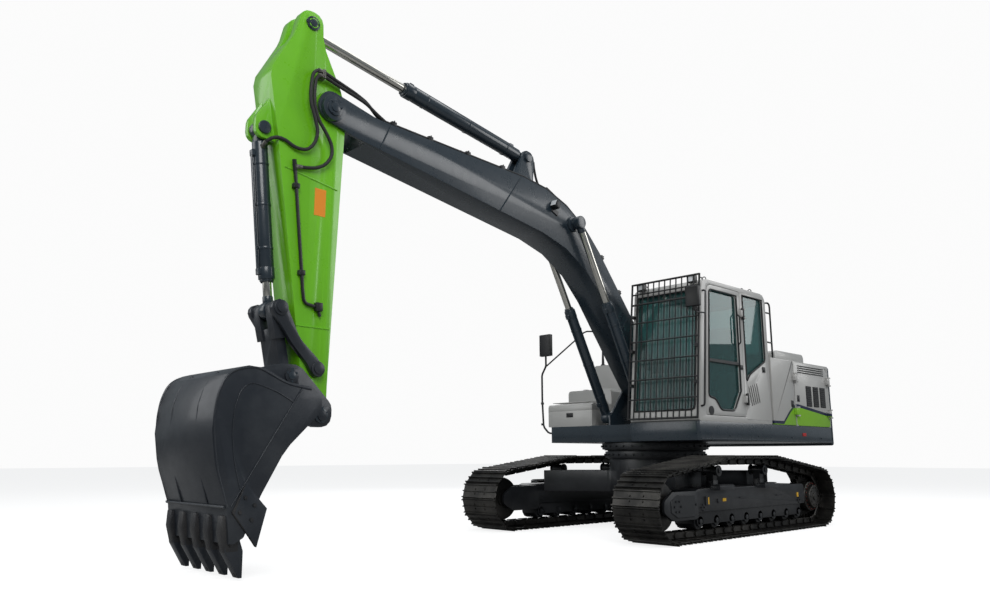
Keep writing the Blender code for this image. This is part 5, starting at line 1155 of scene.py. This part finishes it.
CYLINDERS = (
    # name, barrel body, rod body, base, eye, y, barrel radius, rod radius, barrel length
    ("boom_cylinder_left", "boom_barrels", "boom_rods", (AXIS_X + 0.62, 1.43), (boom_eye.x, boom_eye.z),
            0.306, 0.068, 0.0425, 1.57),
    ("boom_cylinder_right", "boom_barrels", "boom_rods", (AXIS_X + 0.62, 1.43), (boom_eye.x, boom_eye.z),
        -0.306, 0.068, 0.0425, 1.57),
    ("arm_cylinder", "arm_barrel", "arm_rod", (arm_base.x, arm_base.z), (horn.x, horn.z), 0.0, 0.080, 0.0475,
        1.86),
    ("bucket_cylinder", "bucket_barrel", "bucket_rod", (bucket_base.x, bucket_base.z), LINK_PIN, 0.0, 0.070,
        0.040, 1.39))
for name, barrel_body, rod_body, base, eye, y, barrel_r, rod_r, barrel in CYLINDERS:
    span = Vector((eye[0] - base[0], eye[1] - base[1]))
    length, pitch_up = span.length, math.atan2(span.y, span.x)
    place = Matrix.Translation((base[0], y, base[1])) @ Matrix.Rotation(-pitch_up, 4, "Y")
    back = -1 if name.startswith("boom") else 1
    tube = [rod((0.115, 0, 0), (barrel - 0.10, 0, 0), barrel_r - 0.001, 48, 0.006),
            rod((barrel - 0.13, 0, 0), (barrel - 0.02, 0, 0), barrel_r + 0.003, 48, 0.006),
            rod((barrel - 0.03, 0, 0), (barrel, 0, 0), barrel_r - 0.008, 48, 0.006),
            block((0.03, -0.046, -0.052), (0.15, 0.046, 0.052), 0.016, 2),
            rod((0, -0.0495, 0), (0, 0.0495, 0), 0.078, 40, 0.008)]
    for x in (0.32, barrel * 0.5, barrel - 0.30):
        tube.append(rod((x - 0.012, 0, 0), (x + 0.012, 0, 0), barrel_r + 0.003, 40, 0.0015))
    for k in range(10):
        angle = 2 * math.pi * k / 10
        a, b = (barrel_r - 0.020) * math.cos(angle), (barrel_r - 0.020) * math.sin(angle)
        tube.append(rod((barrel - 0.006, a, b), (barrel + 0.008, a, b), 0.007, 6))
    line_z = back * (barrel_r + 0.016)
    tube.append(pipe([(0.22, 0, back * (barrel_r - 0.01)), (0.22, 0, line_z), (barrel - 0.09, 0, line_z),
            (barrel - 0.09, 0, back * (barrel_r - 0.01))], 0.011, 0.03, 2))
    for x in (0.22, barrel - 0.09):
        tube.append(block((x - 0.03, -0.03, min(back * (barrel_r - 0.012), back * (barrel_r + 0.022))),
                          (x + 0.03, 0.03, max(back * (barrel_r - 0.012), back * (barrel_r + 0.022))), 0.006,
                                  1))
    done(moved(join(tube), place), name + "_tube", barrel_body, slate, "slate_paint", name + "_barrel")
    eye_end = [rod((length, -0.0495, 0), (length, 0.0495, 0), 0.078, 40, 0.008),
               rod((length - 0.13, 0, 0), (length - 0.05, 0, 0), rod_r + 0.006, 32, 0.012)]
    done(moved(join(eye_end), place), name + "_rod_eye", rod_body, slate, "slate_paint")
    ram = rod((barrel - 0.30, 0, 0), (length - 0.08, 0, 0), rod_r - 0.0005, 48, 0.003)
    done(moved(ram, place), name + "_rod_bar", rod_body, chrome, "chrome_rod", name + "_rod")
